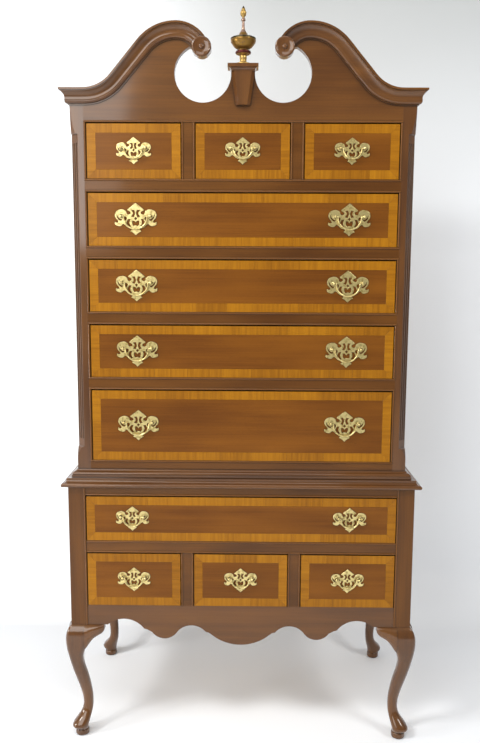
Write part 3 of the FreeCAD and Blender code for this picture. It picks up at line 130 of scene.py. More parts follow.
class HighboyWood(bpy.types.PropertyGroup):
    """Mahogany and poplar of the case and the drawers, and how the drawers' boards meet"""
    case_dark: colour("Case, dark", "Mahogany of the case in its dark grain", "#3b1c05")
    case_light: colour("Case, light", "Mahogany of the case in its light grain", "#663c0e")
    field_dark: colour("Drawer field, dark", "Mahogany veneer of a drawer front in its dark figure",
                       "#522a08")
    field_light: colour("Drawer field, light", "Mahogany veneer of a drawer front in its light figure",
                        "#7a4810")
    inside_dark: colour("Inside, dark", "Poplar of runners, drawer sides and backs in its dark grain",
                        "#a98658")
    inside_light: colour("Inside, light", "Poplar of runners, drawer sides and backs in its light grain",
                         "#cdb084")
    # Painted highlight: beads that stand in front of the face are painted paler, towards this colour.
    bead_highlight: colour("Rubbed", "Mahogany of beads and edges, where handling has worn the lacquer thin",
                   "#74491f")
    lacquer: colour("Lacquer", "Amber that the lacquer gives its sheen", "#f4d8b0")
    # Painted shade: corners, flutes, gaps and rims round fittings are painted towards this dark colour,
    # within this reach.
    wax: colour("Wax", "Wax and dust that have gathered in corners", "#1c0e06")
    corner_shade_reach: length("Wax reach", "How far from a corner wax and dust have gathered", 0.007)
    pore_length: length("Pore length", "Length of a mahogany pore along the grain", 0.004)
    edge: length("Edge", "Radius that sanding has left on the edges", 0.0012)
    front_depth: length("Drawer front", "Thickness of a drawer's front board", 0.019)
    front_lap: length("Lap", "Wood left in front of the dovetails", 0.005)
    side_depth: length("Drawer side", "Thickness of a drawer's side board", 0.011)
    side_drop: length("Side drop", "How far a drawer's sides stay below its front's top", 0.006)
    tail_flare: length("Tail flare", "How much a dovetail narrows from tip to root, each side", 0.0025)


class HighboyVeneer(bpy.types.PropertyGroup):
    """Crossbanding and fields of the drawer fronts"""
    band_dark: colour("Band, dark", "Satinwood crossbanding in its dark stripe", "#744408")
    band_light: colour("Band, light", "Satinwood crossbanding in its light stripe", "#a46c10")
    band_width: length("Band width", "Width of the crossbanding round a drawer front", 0.024)
    piece_length: length("Piece length", "Length of one piece of crossbanding", 0.095)
    lacquer: colour("Lacquer", "Amber that the lacquer gives its sheen", "#f4d8b0")
    # Painted shade: corners, gaps and rims round the plates are painted towards this dark colour, within
    # this reach.
    wax: colour("Wax", "Wax and dust that have gathered in corners", "#1c0e06")
    corner_shade_reach: length("Wax reach", "How far from a corner wax and dust have gathered", 0.005)
    thickness: length("Thickness", "How far the veneer stands in front of the drawer's core", 0.0006)
    joint: length("Joint", "Gap between two pieces of veneer", 0.0001)


class HighboyMetal(bpy.types.PropertyGroup):
    """Brass of the pulls and gilding of the finial"""
    brass: colour("Brass", "Lacquered polished brass", "#dfcb88")
    tarnish: colour("Tarnish", "Brass where it has dulled", "#a08a4a")
    gold: colour("Gold", "Gilding on the finial", "#b08f4e")
    old_gold: colour("Old gold", "Gilding on the finial's bowl, under a dark glaze", "#86642a")
    bole: colour("Bole", "Red ground, left bare on the finial's ring and showing through worn gold",
                 "#4f1d17")
    glaze: colour("Glaze", "Dark glaze on the finial's rim and tip", "#3c3418")
    bronze: colour("Bronze", "Rubbed pinkish bronze on the finial's spire", "#957a68")
    edge: length("Edge", "Radius that filing and polishing have left on the brass's edges", 0.0014)
    plate_depth: length("Plate depth", "Thickness of a back plate", 0.0022)
    bevel: length("Bevel", "Width of the bevel filed round a plate and its piercings", 0.0004)
    post_reach: length("Post reach", "How far a bail's pivot stands in front of the plate's back", 0.011)
    stem_radius: length("Stem", "Radius of a post's stem", 0.003)
    collar_radius: length("Collar", "Radius of a post's collar", 0.0052)
    collar_depth: length("Collar depth", "Thickness of a post's collar", 0.0022)
    ball_radius: length("Ball", "Radius of a post's ball head", 0.0046)
    bore_radius: length("Bore", "Radius of the bore in a post's ball head", 0.00218)


class HighboyStage(bpy.types.PropertyGroup):
    """Camera, floor and backdrop"""
    eye: bpy.props.FloatVectorProperty(name="Eye", description="Where the camera stands",
                                       default=(0.0211, -2.3327, 1.3591), subtype="TRANSLATION",
                                       unit="LENGTH")
    turn: bpy.props.FloatProperty(name="Turn", description="How far the camera is turned to its left",
                                  default=0.0122, subtype="ANGLE", unit="ROTATION")
    dip: bpy.props.FloatProperty(name="Dip", description="How far the camera looks down",
                                 default=0.1346, subtype="ANGLE", unit="ROTATION")
    tilt: bpy.props.FloatProperty(name="Tilt", description="How far the camera leans to its right",
                                  default=0.0046, subtype="ANGLE", unit="ROTATION")
    lens: bpy.props.FloatProperty(name="Lens", description="Focal length in millimetres, for 36 mm",
                                  default=37.29, min=1, subtype="DISTANCE_CAMERA")
    floor: colour("Floor", "Painted floor and backdrop", "#f4f6f8")
    # Painted shade: the grey that the backdrop is painted towards at its top right, where less light
    # falls.
    wall_top_shade: colour("Wall top", "Paint of the backdrop at its top right", "#b4b6b5")
    wall_place: length("Wall", "How far the backdrop stands behind the highboy's middle", 0.62)


# --------------------------------------------------------------------------------------------
# Materials
# --------------------------------------------------------------------------------------------
def node(tree, kind, settings=None, inputs=None):
    """Add a shader node with its settings, and set or link its inputs. Returns its outputs."""
    made = tree.nodes.new("ShaderNode" + kind)
    for name, setting in (settings or {}).items():
        setattr(made, name, setting)
    for name, given in (inputs or {}).items():
        if isinstance(given, bpy.types.NodeSocket):
            tree.links.new(given, made.inputs[name])
        else:
            made.inputs[name].default_value = given
    return made.outputs


def new_material(name):
    """An empty material and its node tree."""
    material = bpy.data.materials.new(name)
    material.use_nodes = True
    material.node_tree.nodes.clear()
    return material, material.node_tree


def shaded(tree, inputs):
    """End a tree in the main shader with these inputs."""
    shader = node(tree, "BsdfPrincipled", None, inputs)[0]
    node(tree, "OutputMaterial", None, {"Surface": shader})


def blended(tree, share, first, second):
    """A colour between two, by a share from 0 to 1."""
    return node(tree, "Mix", {"data_type": "RGBA"}, {0: share, 6: first, 7: second})[2]


def ranged(tree, number, low, high, to_low, to_high, way="SMOOTHSTEP"):
    """A number moved from one range to another, and held inside it."""
    return node(tree, "MapRange", {"interpolation_type": way},
                {"Value": number, "From Min": low, "From Max": high, "To Min": to_low,
                 "To Max": to_high})[0]


def weighed(tree, *parts):
    """The sum of some numbers, each with its weight."""
    total = 0.0
    for number, weight in parts:
        total = node(tree, "Math", {"operation": "MULTIPLY_ADD"}, {0: number, 1: weight, 2: total})[0]
    return total


def place_apart(tree):
    """The place on the object, as X, Y and Z."""
    place = node(tree, "TexCoord")["Object"]
    return node(tree, "SeparateXYZ", None, {0: place})


def along_axis(tree, axis):
    """The place in the wood as (along the grain, across it, across it), for one direction of grain."""
    apart = place_apart(tree)
    order = {"X": (0, 1, 2), "Y": (1, 0, 2), "Z": (2, 0, 1)}[axis]
    return node(tree, "CombineXYZ", None, {i: apart[k] for i, k in enumerate(order)})[0]


def along_mitre(tree):
    """As along_axis, for mouldings that turn a corner: the grain turns with them at the mitre."""
    apart = place_apart(tree)
    low, high = CAD_BOX
    across = node(tree, "Math", {"operation": "ABSOLUTE"}, {0: apart[0]})[0]
    beyond = node(tree, "Math", {"operation": "ADD"}, {0: across, 1: apart[1]})[0]
    side = node(tree, "Math", {"operation": "GREATER_THAN"}, {0: beyond, 1: high.x + low.y})[0]
    front = node(tree, "CombineXYZ", None, {0: apart[0], 1: apart[1], 2: apart[2]})[0]
    back = node(tree, "CombineXYZ", None, {0: apart[1], 1: apart[0], 2: apart[2]})[0]
    return node(tree, "Mix", {"data_type": "VECTOR"}, {0: side, 4: front, 5: back})[1]


def streaks(tree, place, along, across, detail=3.0):
    """Noise drawn out along the grain: patches this many metres long and wide."""
    stretched = node(tree, "VectorMath", {"operation": "MULTIPLY"},
                     {0: place, 1: (1 / along, 1 / across, 1 / across)})[0]
    return node(tree, "TexNoise", None,
                {"Vector": stretched, "Scale": 1.0, "Detail": detail, "Roughness": 0.55})[0]


def varied_place(tree, place):
    """The same place in a different board for each object."""
    chance = node(tree, "ObjectInfo")["Random"]
    shift = node(tree, "VectorMath", {"operation": "SCALE"}, {0: (3.1, 7.7, 5.3), "Scale": chance})[0]
    return node(tree, "VectorMath", {"operation": "ADD"}, {0: place, 1: shift})[0]


def painted_corner_shade(tree, reach, strength):
    """A share that grows in corners, in flutes and close round fittings: painted shade."""
    open_share = node(tree, "AmbientOcclusion", {"samples": 8}, {"Distance": reach})["AO"]
    return ranged(tree, open_share, 0.4, 0.92, strength, 0.0, "LINEAR")


def mahogany_grain(tree, place, settings, dark, light, lines_apart):
    """The colour and the pores of mahogany: soft clouds, faint stripes, fine lines and short pores."""
    clouds = streaks(tree, place, 0.34, 0.085, 2.0)
    # Growth stripes are 1 to 3 cm apart and run for decimetres.
    stripes = streaks(tree, place, 0.6, 0.022, 2.0)
    lines = streaks(tree, place, 0.16, lines_apart, 2.0)
    share = weighed(tree, (clouds, 0.5), (stripes, 0.28), (lines, 0.22))
    wood = blended(tree, ranged(tree, share, 0.22, 0.76, 0.0, 1.0), dark, light)
    # Pores are 0.2 mm wide; they are drawn 0.7 mm wide so that they show.
    pores = streaks(tree, place, settings.pore_length * 2, 0.0007, 1.0)
    wood = blended(tree, ranged(tree, pores, 0.62, 0.72, 0.0, 0.35), wood, linear("#2c170b"))
    return wood, pores, clouds


def mahogany(name, settings, place_from, face=None, gloss=0.6):
    """Solid mahogany, scraped, stained brown and sprayed with satin lacquer. It gives a warm brown with
    soft clouds, fine lines and short dark pores, painted shade in the corners, and a pale sheen where a
    light grazes it. Beads that stand in front of the face are painted paler, as a painted highlight."""
    material, tree = new_material(name)
    place = varied_place(tree, place_from(tree))
    # Grain lines are 0.8 mm apart; they are drawn 2 mm apart so that they show.
    wood, pores, clouds = mahogany_grain(tree, place, settings, settings.case_dark, settings.case_light,
                                         0.002)
    if face is not None:
        # Painted highlight: beads standing in front of the face are painted paler, as if they caught the
        # light.
        bead_highlight_share = ranged(tree, place_apart(tree)[1], face - 0.0004, face - 0.0018, 0.0, 0.35)
        wood = blended(tree, bead_highlight_share, wood, settings.bead_highlight)
    # Painted shade: corners, flutes, gaps round the drawers and rims round fittings are painted dark.
    wood = blended(tree, painted_corner_shade(tree, settings.corner_shade_reach, 0.85), wood, settings.wax)
    eased = node(tree, "Bevel", {"samples": 4}, {"Radius": settings.edge})[0]
    bump = node(tree, "Bump", None, {"Strength": 0.1, "Distance": 0.0004, "Height": pores,
                                     "Normal": eased})[0]
    shaded(tree, {"Base Color": wood, "Roughness": ranged(tree, clouds, 0.3, 0.7, 0.33, 0.43),
                  "IOR": 1.5, "Specular IOR Level": 0.35, "Specular Tint": settings.lacquer,
                  "Normal": bump, "Coat Weight": gloss, "Coat Roughness": 0.1, "Coat IOR": 1.5})
    return material


def end_in_veneer(tree, settings, wood, corner_shade_share, roughness):
    """End a tree in veneer under satin lacquer, with painted shade in its corners."""
    wood = blended(tree, painted_corner_shade(tree, settings.corner_shade_reach, corner_shade_share), wood, settings.wax)
    shaded(tree, {"Base Color": wood, "Roughness": roughness, "IOR": 1.5, "Specular IOR Level": 0.3,
                  "Specular Tint": settings.lacquer, "Coat Weight": 0.1, "Coat Roughness": 0.16,
                  "Coat IOR": 1.5})


def field_veneer(settings):
    """Sliced mahogany veneer, stained olive-brown, under satin lacquer: level fine grain with soft
    darker clouds."""
    material, tree = new_material("mahogany_veneer_lacquered")
    place = node(tree, "Attribute", {"attribute_name": "grain"})["Vector"]
    # Grain lines in the veneer are 1 mm apart; they are drawn 2.4 mm apart so that they show.
    wood, _, _ = mahogany_grain(tree, place, settings, settings.field_dark, settings.field_light, 0.0024)
    end_in_veneer(tree, settings, wood, 1.0, 0.36)
    return material


def band_veneer(settings):
    """Satinwood crossbanding under satin lacquer. Short pieces with the grain across the band: golden,
    silky, each piece of its own shade, with bright and dark stripes."""
    material, tree = new_material("satinwood_crossband_lacquered")
    place = node(tree, "Attribute", {"attribute_name": "grain"})["Vector"]
    shade = node(tree, "Attribute", {"attribute_name": "shade"})["Fac"]
    # Ribbon stripes in satinwood are 3 to 8 mm wide, and cross the whole band.
    ribbons = streaks(tree, place, 0.12, 0.0075, 2.0)
    fine = streaks(tree, place, 0.06, 0.0016, 2.0)
    share = weighed(tree, (ribbons, 0.6), (fine, 0.3), (shade, 1.0))
    wood = blended(tree, ranged(tree, share, 0.1, 0.9, 0.0, 1.0), settings.band_dark,
                   settings.band_light)
    end_in_veneer(tree, settings, wood, 0.85, 0.35)
    return material


def poplar(tree, place, settings):
    """The colour and the grain of planed poplar."""
    grain = streaks(tree, place, 0.4, 0.007)
    return blended(tree, ranged(tree, grain, 0.3, 0.7, 0.0, 1.0), settings.inside_dark,
                   settings.inside_light), grain


def inside_wood(settings, name, axis):
    """Planed poplar without finish: pale, matt, with faint brown grain."""
    material, tree = new_material(name)
    wood, grain = poplar(tree, varied_place(tree, along_axis(tree, axis)), settings)
    bump = node(tree, "Bump", None, {"Strength": 0.15, "Distance": 0.0004, "Height": grain})[0]
    shaded(tree, {"Base Color": wood, "Roughness": 0.68, "IOR": 1.5, "Normal": bump})
    return material


def drawer_wood(settings, name):
    """A drawer's boards under one material: a mahogany front with half-blind sockets, and planed poplar
    behind it, whose tails show pale in the sockets. Both are matt, as wood without lacquer is."""
    material, tree = new_material("wood_" + name)
    low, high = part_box(name)
    place = varied_place(tree, along_axis(tree, "Y"))
    pale, grain = poplar(tree, place, settings)
    dark, _, _ = mahogany_grain(tree, varied_place(tree, along_axis(tree, "X")), settings,
                                settings.case_dark, settings.case_light, 0.002)
    apart = place_apart(tree)
    pitch = (high.z - settings.side_drop - low.z) / TAILS

    def math_node(operation, first, second):
        return node(tree, "Math", {"operation": operation}, {0: first, 1: second})[0]

    # How far a place is behind the front, in from the nearer side, and above or below its tail's middle.
    behind = math_node("SUBTRACT", apart[1], low.y)
    from_middle = math_node("ABSOLUTE", math_node("SUBTRACT", apart[0], (low.x + high.x) / 2), 0.0)
    height = math_node("DIVIDE", math_node("SUBTRACT", apart[2], low.z), pitch)
    off_tail = math_node("ABSOLUTE", math_node("SUBTRACT", math_node("FRACT", height, 0.0), 0.5), 0.0)
    half_tail = ranged(tree, behind, settings.front_lap, settings.front_depth, HALF_TAIL,
                       HALF_TAIL - settings.tail_flare / pitch, "LINEAR")
    in_tail = math_node("LESS_THAN", off_tail, half_tail)
    past_lap = math_node("GREATER_THAN", behind, settings.front_lap)
    at_side = math_node("GREATER_THAN", from_middle, (high.x - low.x) / 2 - settings.side_depth)
    tail = math_node("MULTIPLY", math_node("MULTIPLY", in_tail, past_lap), at_side)
    front = math_node("LESS_THAN", behind, settings.front_depth)
    is_front = math_node("MULTIPLY", front, math_node("SUBTRACT", 1.0, tail))
    bump = node(tree, "Bump", None, {"Strength": 0.15, "Distance": 0.0004, "Height": grain})[0]
    shaded(tree, {"Base Color": blended(tree, is_front, pale, dark), "Roughness": 0.6, "IOR": 1.5,
                  "Specular IOR Level": 0.3, "Normal": bump})
    return material


def brass(settings):
    """Cast and polished brass under clear lacquer: pale yellow faces that roll a little, dull spots, and
    rims and wire sides painted darker as shade."""
    material, tree = new_material("brass_cast_polished_lacquered")
    coordinates = node(tree, "TexCoord")
    place = coordinates["Object"]
    # Dull spots are about a centimetre across; file marks are 0.3 mm and are drawn 0.6 mm wide.
    spots = node(tree, "TexNoise", None, {"Vector": place, "Scale": 130.0, "Detail": 3.0})[0]
    marks = node(tree, "TexNoise", None, {"Vector": place, "Scale": 1600.0, "Detail": 1.0})[0]
    metal = blended(tree, ranged(tree, spots, 0.46, 0.7, 0.0, 0.85), settings.brass, settings.tarnish)
    # Painted shade: rims and the wire's sides, turned away from the front, are painted dark.
    facing = node(tree, "SeparateXYZ", None, {0: coordinates["Normal"]})[1]
    facing = node(tree, "Math", {"operation": "ABSOLUTE"}, {0: facing})[0]
    metal = blended(tree, ranged(tree, facing, 0.3, 0.85, 0.85, 0.0), metal, settings.glaze)
    # Cast plates are never quite flat: their faces roll over 1 to 2 cm.
    rolls = node(tree, "TexNoise", None, {"Vector": place, "Scale": 75.0, "Detail": 1.0})[0]
    eased = node(tree, "Bevel", {"samples": 4}, {"Radius": settings.edge})[0]
    rolled = node(tree, "Bump", None, {"Strength": 0.2, "Distance": 0.0015, "Height": rolls,
                                       "Normal": eased})[0]
    bump = node(tree, "Bump", None, {"Strength": 0.08, "Distance": 0.0003, "Height": marks,
                                     "Normal": rolled})[0]
    shaded(tree, {"Base Color": metal, "Metallic": 1.0, "Normal": bump, "Coat Weight": 0.6,
                  "Coat Roughness": 0.25, "Roughness": ranged(tree, spots, 0.35, 0.75, 0.3, 0.44)})
    return material


def gilding(settings):
    """Turned wood, gilt over red bole, glazed and worn back: gold foot and stem, bare red ring, old gold
    bowl, dark rim, pinkish spire and a gold bulb with a dark tip."""
    material, tree = new_material("gilt_turned_wood")
    place = node(tree, "TexCoord")["Object"]
    low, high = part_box("finial")
    share = ranged(tree, place_apart(tree)[2], low.z, high.z, 0.0, 1.0, "LINEAR")
    metal = settings.gold
    # Where each tone starts, as a share of the finial's height.
    for start, tone in ((0.186, settings.bole), (0.243, settings.gold), (0.262, settings.old_gold),
                        (0.425, settings.glaze), (0.462, settings.old_gold), (0.55, settings.bronze),
                        (0.8, settings.gold), (0.955, settings.glaze)):
        reached = ranged(tree, share, start - 0.004, start + 0.004, 0.0, 1.0)
        metal = blended(tree, reached, metal, tone)
    worn = node(tree, "TexNoise", None, {"Vector": place, "Scale": 170.0, "Detail": 4.0})[0]
    metal = blended(tree, ranged(tree, worn, 0.55, 0.72, 0.0, 0.6), metal, settings.bole)
    shaded(tree, {"Base Color": metal, "Metallic": ranged(tree, worn, 0.5, 0.72, 0.75, 0.1),
                  "Roughness": ranged(tree, worn, 0.4, 0.7, 0.3, 0.5)})
    return material


def painted_backdrop(settings):
    """Matt painted board with painted shade: pale at the left and below, darkening to grey at the top
    right where less light falls, and without gloss. Its back is not seen."""
    material, tree = new_material("painted_backdrop_matt")
    place = place_apart(tree)
    # Painted shade: darker towards the top, and most towards the right.
    height = ranged(tree, place[2], 1.4, 2.35, 0.0, 1.0, "LINEAR")
    share = node(tree, "Math", {"operation": "MULTIPLY"},
                 {0: height, 1: ranged(tree, place[0], -0.8, 0.2, 0.2, 1.0)})[0]
    paint = blended(tree, share, settings.floor, settings.wall_top_shade)
    front = node(tree, "BsdfDiffuse", None, {"Color": paint})[0]
    clear = node(tree, "BsdfTransparent")[0]
    behind = node(tree, "NewGeometry")["Backfacing"]
    shader = node(tree, "MixShader", None, {0: behind, 1: front, 2: clear})[0]
    node(tree, "OutputMaterial", None, {"Surface": shader})
    return material


def finish_with(names, material):
    """Give these CAD nodes one material."""
    for name in names:
        for slot in NODES[name].material_slots:
            slot.link = "OBJECT"
            slot.material = material


# --------------------------------------------------------------------------------------------
# Meshes
# --------------------------------------------------------------------------------------------
def new_piece(name, mesh_build, materials, body):
    """An object from a bmesh, with its materials, that rides on a body."""
    data = bpy.data.meshes.new(name)
    mesh_build.to_mesh(data)
    mesh_build.free()
    piece = bpy.data.objects.new(name, data)
    bpy.context.scene.collection.objects.link(piece)
    for material in materials:
        data.materials.append(material)
    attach(piece, body)
    return piece


def veneer_leaf(build, corners, front, back, grain_turned, shade, material_index, chance):
    """One leaf of veneer: a thin slab over corners in (x, z), its front edges eased, with the place
    along its grain kept for its material."""
    grain = build.loops.layers.float_vector["grain"]
    tone = build.loops.layers.float["shade"]
    ease = (back - front) * EASED_SHARE
    middle = sum((Vector(c) for c in corners), Vector((0, 0))) / len(corners)
    inner = []
    for corner in corners:
        pull = middle - Vector(corner)
        inner.append(Vector(corner) + Vector((math.copysign(min(ease, abs(pull.x)), pull.x),
                                              math.copysign(min(ease, abs(pull.y)), pull.y))))
    rings = [[build.verts.new((x, y, z)) for x, z in ring] for ring, y in (
        (inner, front), (corners, front + ease), (corners, back))]
    count = len(corners)
    faces = [build.faces.new(rings[0]), build.faces.new(rings[2][::-1])]
    for outer, under in ((rings[0], rings[1]), (rings[1], rings[2])):
        faces += [build.faces.new((outer[i], under[i], under[(i + 1) % count], outer[(i + 1) % count]))
                  for i in range(count)]
    jump = Vector((chance.uniform(0, 9), chance.uniform(0, 9), chance.uniform(0, 9)))
    for face in faces:
        face.material_index = material_index
        for loop in face.loops:
            x, _, z = loop.vert.co
            loop[grain] = Vector((z, x, 0) if grain_turned else (x, z, 0)) + jump
            loop[tone] = shade


def veneered_front(name, settings, materials):
    """A drawer front's veneers: a field framed by four mitred runs of crossbanding in short pieces."""
    chance = random.Random(name)
    low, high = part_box(name)
    front, back = low.y - settings.thickness, low.y + settings.thickness
    gap, width = settings.joint / 2, settings.band_width
    build = bmesh.new()
    build.loops.layers.float_vector.new("grain")
    build.loops.layers.float.new("shade")
    x0, x1, z0, z1 = low.x, high.x, low.z, high.z

    def leaf(corners, turned, material_index):
        shade = chance.uniform(-0.06, 0.14) if material_index == BAND else 0.0
        veneer_leaf(build, corners, front, back, turned, shade, material_index, chance)

    leaf([(x0 + width + gap, z0 + width + gap), (x1 - width - gap, z0 + width + gap),
          (x1 - width - gap, z1 - width - gap), (x0 + width + gap, z1 - width - gap)], False, FIELD)
    # Each run: its corner, the way along it, the way in, its length, and whether its grain is turned.
    runs = [((x0, z0), (1, 0), (0, 1), x1 - x0, True), ((x0, z1), (1, 0), (0, -1), x1 - x0, True),
            ((x0, z0), (0, 1), (1, 0), z1 - z0, False), ((x1, z0), (0, 1), (-1, 0), z1 - z0, False)]
    for (ax, az), (ux, uz), (vx, vz), run, turned in runs:
        pieces = max(1, round(run / settings.piece_length))
        breaks = [0.0]
        for index in range(1, pieces):
            breaks.append(run * (index + chance.uniform(-0.22, 0.22)) / pieces)
        breaks.append(run)
        for index in range(pieces):
            start, end = breaks[index], breaks[index + 1]
            first, last = index == 0, index == pieces - 1
            outline = [(start + (0 if first else gap), 0), (end - (0 if last else gap), 0),
                       (end - (width + gap if last else gap), width - gap),
                       (start + (width + gap if first else gap), width - gap)]
            if first:
                outline[0] = (gap * 2, 0)
            if last:
                outline[1] = (run - gap * 2, 0)
            corners = [(ax + ux * s + vx * t, az + uz * s + vz * t) for s, t in outline]
            if ux * vz - uz * vx < 0:
                corners.reverse()
            leaf(corners, turned, BAND)
    bmesh.ops.recalc_face_normals(build, faces=build.faces)
    new_piece(name.replace("drawer_", "veneer_"), build, materials, name)


# Half of a back plate's outline, from the point of its cap down to its pendant, and its piercings, as
# shares of the plate's width: out from the middle, up, and whether the corner is sharp.
PLATE_EDGE = [
    (0.0, 0.379, True), (0.196, 0.223, True), (0.186, 0.2, True), (0.128, 0.17, False),
    (0.126, 0.128, False), (0.186, 0.105, True), (0.212, 0.128, False), (0.226, 0.178, False),
    (0.3, 0.226, False), (0.385, 0.221, False), (0.462, 0.18, False), (0.494, 0.1, False),
    (0.474, 0.028, False), (0.43, -0.02, False), (0.408, -0.064, True), (0.448, -0.082, False),
    (0.493, -0.058, True), (0.492, -0.12, False), (0.42, -0.16, False), (0.352, -0.158, False),
    (0.305, -0.112, True), (0.27, -0.125, False), (0.196, -0.192, False), (0.1, -0.226, True),
    (0.106, -0.256, False), (0.134, -0.282, True), (0.064, -0.318, False), (0.0, -0.38, True),
]
PLATE_SIDE_HOLES = [
    # Upper bar, beside the middle.
    [(0.014, 0.132, False), (0.036, 0.216, True), (0.104, 0.208, True), (0.064, 0.138, False),
     (0.106, 0.06, True), (0.044, 0.044, True)],
    # Long curved slot of the vase.
    [(0.122, 0.004, True), (0.15, -0.082, False), (0.11, -0.17, True), (0.158, -0.176, False),
     (0.216, -0.09, False), (0.184, -0.002, True)],
    # Drop between the vase and the ear.
    [(0.21, 0.02, False), (0.244, 0.06, False), (0.282, 0.02, False), (0.25, -0.032, False)],
    # Crescent under the post, which draws the ear's curl.
    [(0.304, 0.01, True), (0.352, -0.038, False), (0.434, 0.028, False), (0.456, 0.122, True),
     (0.414, 0.048, False), (0.352, 0.0, False)],
]
PLATE_MIDDLE_HOLES = [
    [(0.0, 0.05, True), (0.036, 0.012, True), (0.0, -0.026, True)],
    [(0.0, -0.08, True), (0.034, -0.038, False), (0.082, -0.036, True), (0.08, -0.112, False),
     (0.052, -0.164, True), (0.0, -0.142, False)],
]


def mirrored_loop(half):
    """A closed loop from its right half, whose ends lie on the middle."""
    return half + [(-x, z, sharp) for x, z, sharp in half[-2:0:-1]]


def smooth_loop(loop, steps=5):
    """The loop's points with a smooth line through those that are not sharp corners."""
    line = []
    count = len(loop)

    def handle(index, way):
        before, here, after = (Vector(loop[(index + k) % count][:2]) for k in (-1, 0, 1))
        aim = after if way > 0 else before
        if loop[index % count][2]:
            return here + (aim - here) / 3
        return here + way * (after - before).normalized() * (aim - here).length / 3

    for index in range(count):
        start, end = Vector(loop[index][:2]), Vector(loop[(index + 1) % count][:2])
        straight = loop[index][2] and loop[(index + 1) % count][2]
        points = interpolate_bezier(start, handle(index, 1), handle(index + 1, -1), end,
                                    2 if straight else steps + 1)
        line += points[:-1]
    return line


def moved_out(line, amount):
    """A closed line moved to its right by an amount."""
    moved = []
    for index, point in enumerate(line):
        along = (line[(index + 1) % len(line)] - line[index - 1]).normalized()
        moved.append(point + Vector((along.y, -along.x)) * amount)
    return moved


def signed_area(line):
    """The area in a closed line, below zero where it runs clockwise."""
    return sum(p.x * q.y - q.x * p.y for p, q in zip(line, line[1:] + line[:1])) / 2


def encloses(line, point):
    """Whether a closed line goes round a point."""
    inside = False
    for p, q in zip(line, line[1:] + line[:1]):
        if (p.y > point.y) != (q.y > point.y):
            inside ^= point.x < p.x + (q.x - p.x) * (point.y - p.y) / (q.y - p.y)
    return inside


def add_plate(build, width, middle, settings):
    """A pierced plate with filed edges, its back's middle at this place."""
    left = [[(-x, z, sharp) for x, z, sharp in hole] for hole in PLATE_SIDE_HOLES]
    holes = PLATE_SIDE_HOLES + left + [mirrored_loop(hole) for hole in PLATE_MIDDLE_HOLES]
    lines = []
    for index, loop in enumerate([mirrored_loop(PLATE_EDGE), *holes]):
        line = [point * width for point in smooth_loop(loop)]
        # The metal lies to the left of each line.
        if (signed_area(line) > 0) != (index == 0):
            line.reverse()
        lines.append(line)
    front, bevel = settings.plate_depth, settings.bevel
    rings = []
    for line in lines:
        shrunk = moved_out(line, -bevel)
        rings.append([[build.verts.new(middle + Vector((p.x, -depth, p.y))) for p in points]
                      for points, depth in ((line, 0), (line, front - bevel), (shrunk, front))])
    for back, side, face_ring in rings:
        count = len(back)
        for first, second in ((back, side), (side, face_ring)):
            for i in range(count):
                build.faces.new((first[i], first[(i + 1) % count], second[(i + 1) % count], second[i]))
    for ring in (0, 2):
        verts = [vert for group in rings for vert in group[ring]]
        flat = [Vector((vert.co.x, vert.co.z)) for vert in verts]
        starts = [sum(len(group[ring]) for group in rings[:k]) for k in range(len(rings))]
        edges = [(start + i, start + (i + 1) % len(group[ring]))
                 for start, group in zip(starts, rings) for i in range(len(group[ring]))]
        # Output type 1 keeps the triangles inside the outline; those in a piercing are left out here.
        places, _, triangles, origins, _, _ = delaunay_2d_cdt(flat, edges, [], 1, 1e-7)
        for triangle in triangles:
            heart = sum((places[corner] for corner in triangle), Vector((0, 0))) / 3 - middle.xz
            if not any(encloses(line, heart) for line in lines[1:]):
                build.faces.new([verts[origins[corner][0]] for corner in triangle])


def lathe(build, profile, axis, middle, steps=20):
    """Turn a profile of (along the axis, radius) pairs round an axis through a middle."""
    turn = Vector(axis).to_track_quat("Z", "Y").to_matrix().to_4x4()
    place = Matrix.Translation(middle) @ turn
    rings = []
    for along, radius in profile:
        around = [(radius * math.cos(math.tau * i / steps), radius * math.sin(math.tau * i / steps), along)
                  for i in range(steps)]
        rings.append([build.verts.new(place @ Vector(corner)) for corner in around])
    for first, second in zip(rings, rings[1:]):
        for i in range(steps):
            face = build.faces.new((first[i], first[(i + 1) % steps], second[(i + 1) % steps], second[i]))
            face.smooth = True
    return rings


def pull_post(build, x, y, z, settings):
    """A post: a collar on the plate, a stem and a ball head bored across for the bail, at the pivot."""
    front = y + settings.post_reach - settings.plate_depth
    collar, stem = settings.collar_radius, settings.stem_radius
    depth = settings.collar_depth
    # A collar with a rounded rim, and a stem that flares a little where it leaves the collar.
    profile = [(0, collar), (depth * 0.5, collar), (depth * 0.85, collar * 0.86), (depth, collar * 0.62),
               (depth, stem * 1.15), (depth * 1.4, stem), (front - y - settings.ball_radius * 0.7, stem)]
    rings = lathe(build, profile, (0, -1, 0), (x, front, z))
    build.faces.new(rings[0][::-1])
    build.faces.new(rings[-1])
    ball, bore = settings.ball_radius, settings.bore_radius
    start = math.asin(bore / ball)
    arc = [start + (math.pi - 2 * start) * i / 12 for i in range(13)]
    head = [(-ball * math.cos(angle), ball * math.sin(angle)) for angle in arc]
    head += [(head[-1][0], bore), (head[0][0], bore), head[0]]
    lathe(build, head, (1, 0, 0), (x, y, z), 24)


def pulls_of(drawer):
    """The pivots of a drawer's bails."""
    joints = frame["record"]["behaviour"]["joints"]
    return [Vector(j["pos_m"]) for j in joints if j["type"] == "hinge" and j["parent"] == drawer]


def side_of(pivot, pivots):
    """How a bail's name ends: a long drawer has one at its left and one at its right."""
    if len(pivots) == 1:
        return ""
    return "_left" if pivot.x == min(p.x for p in pivots) else "_right"


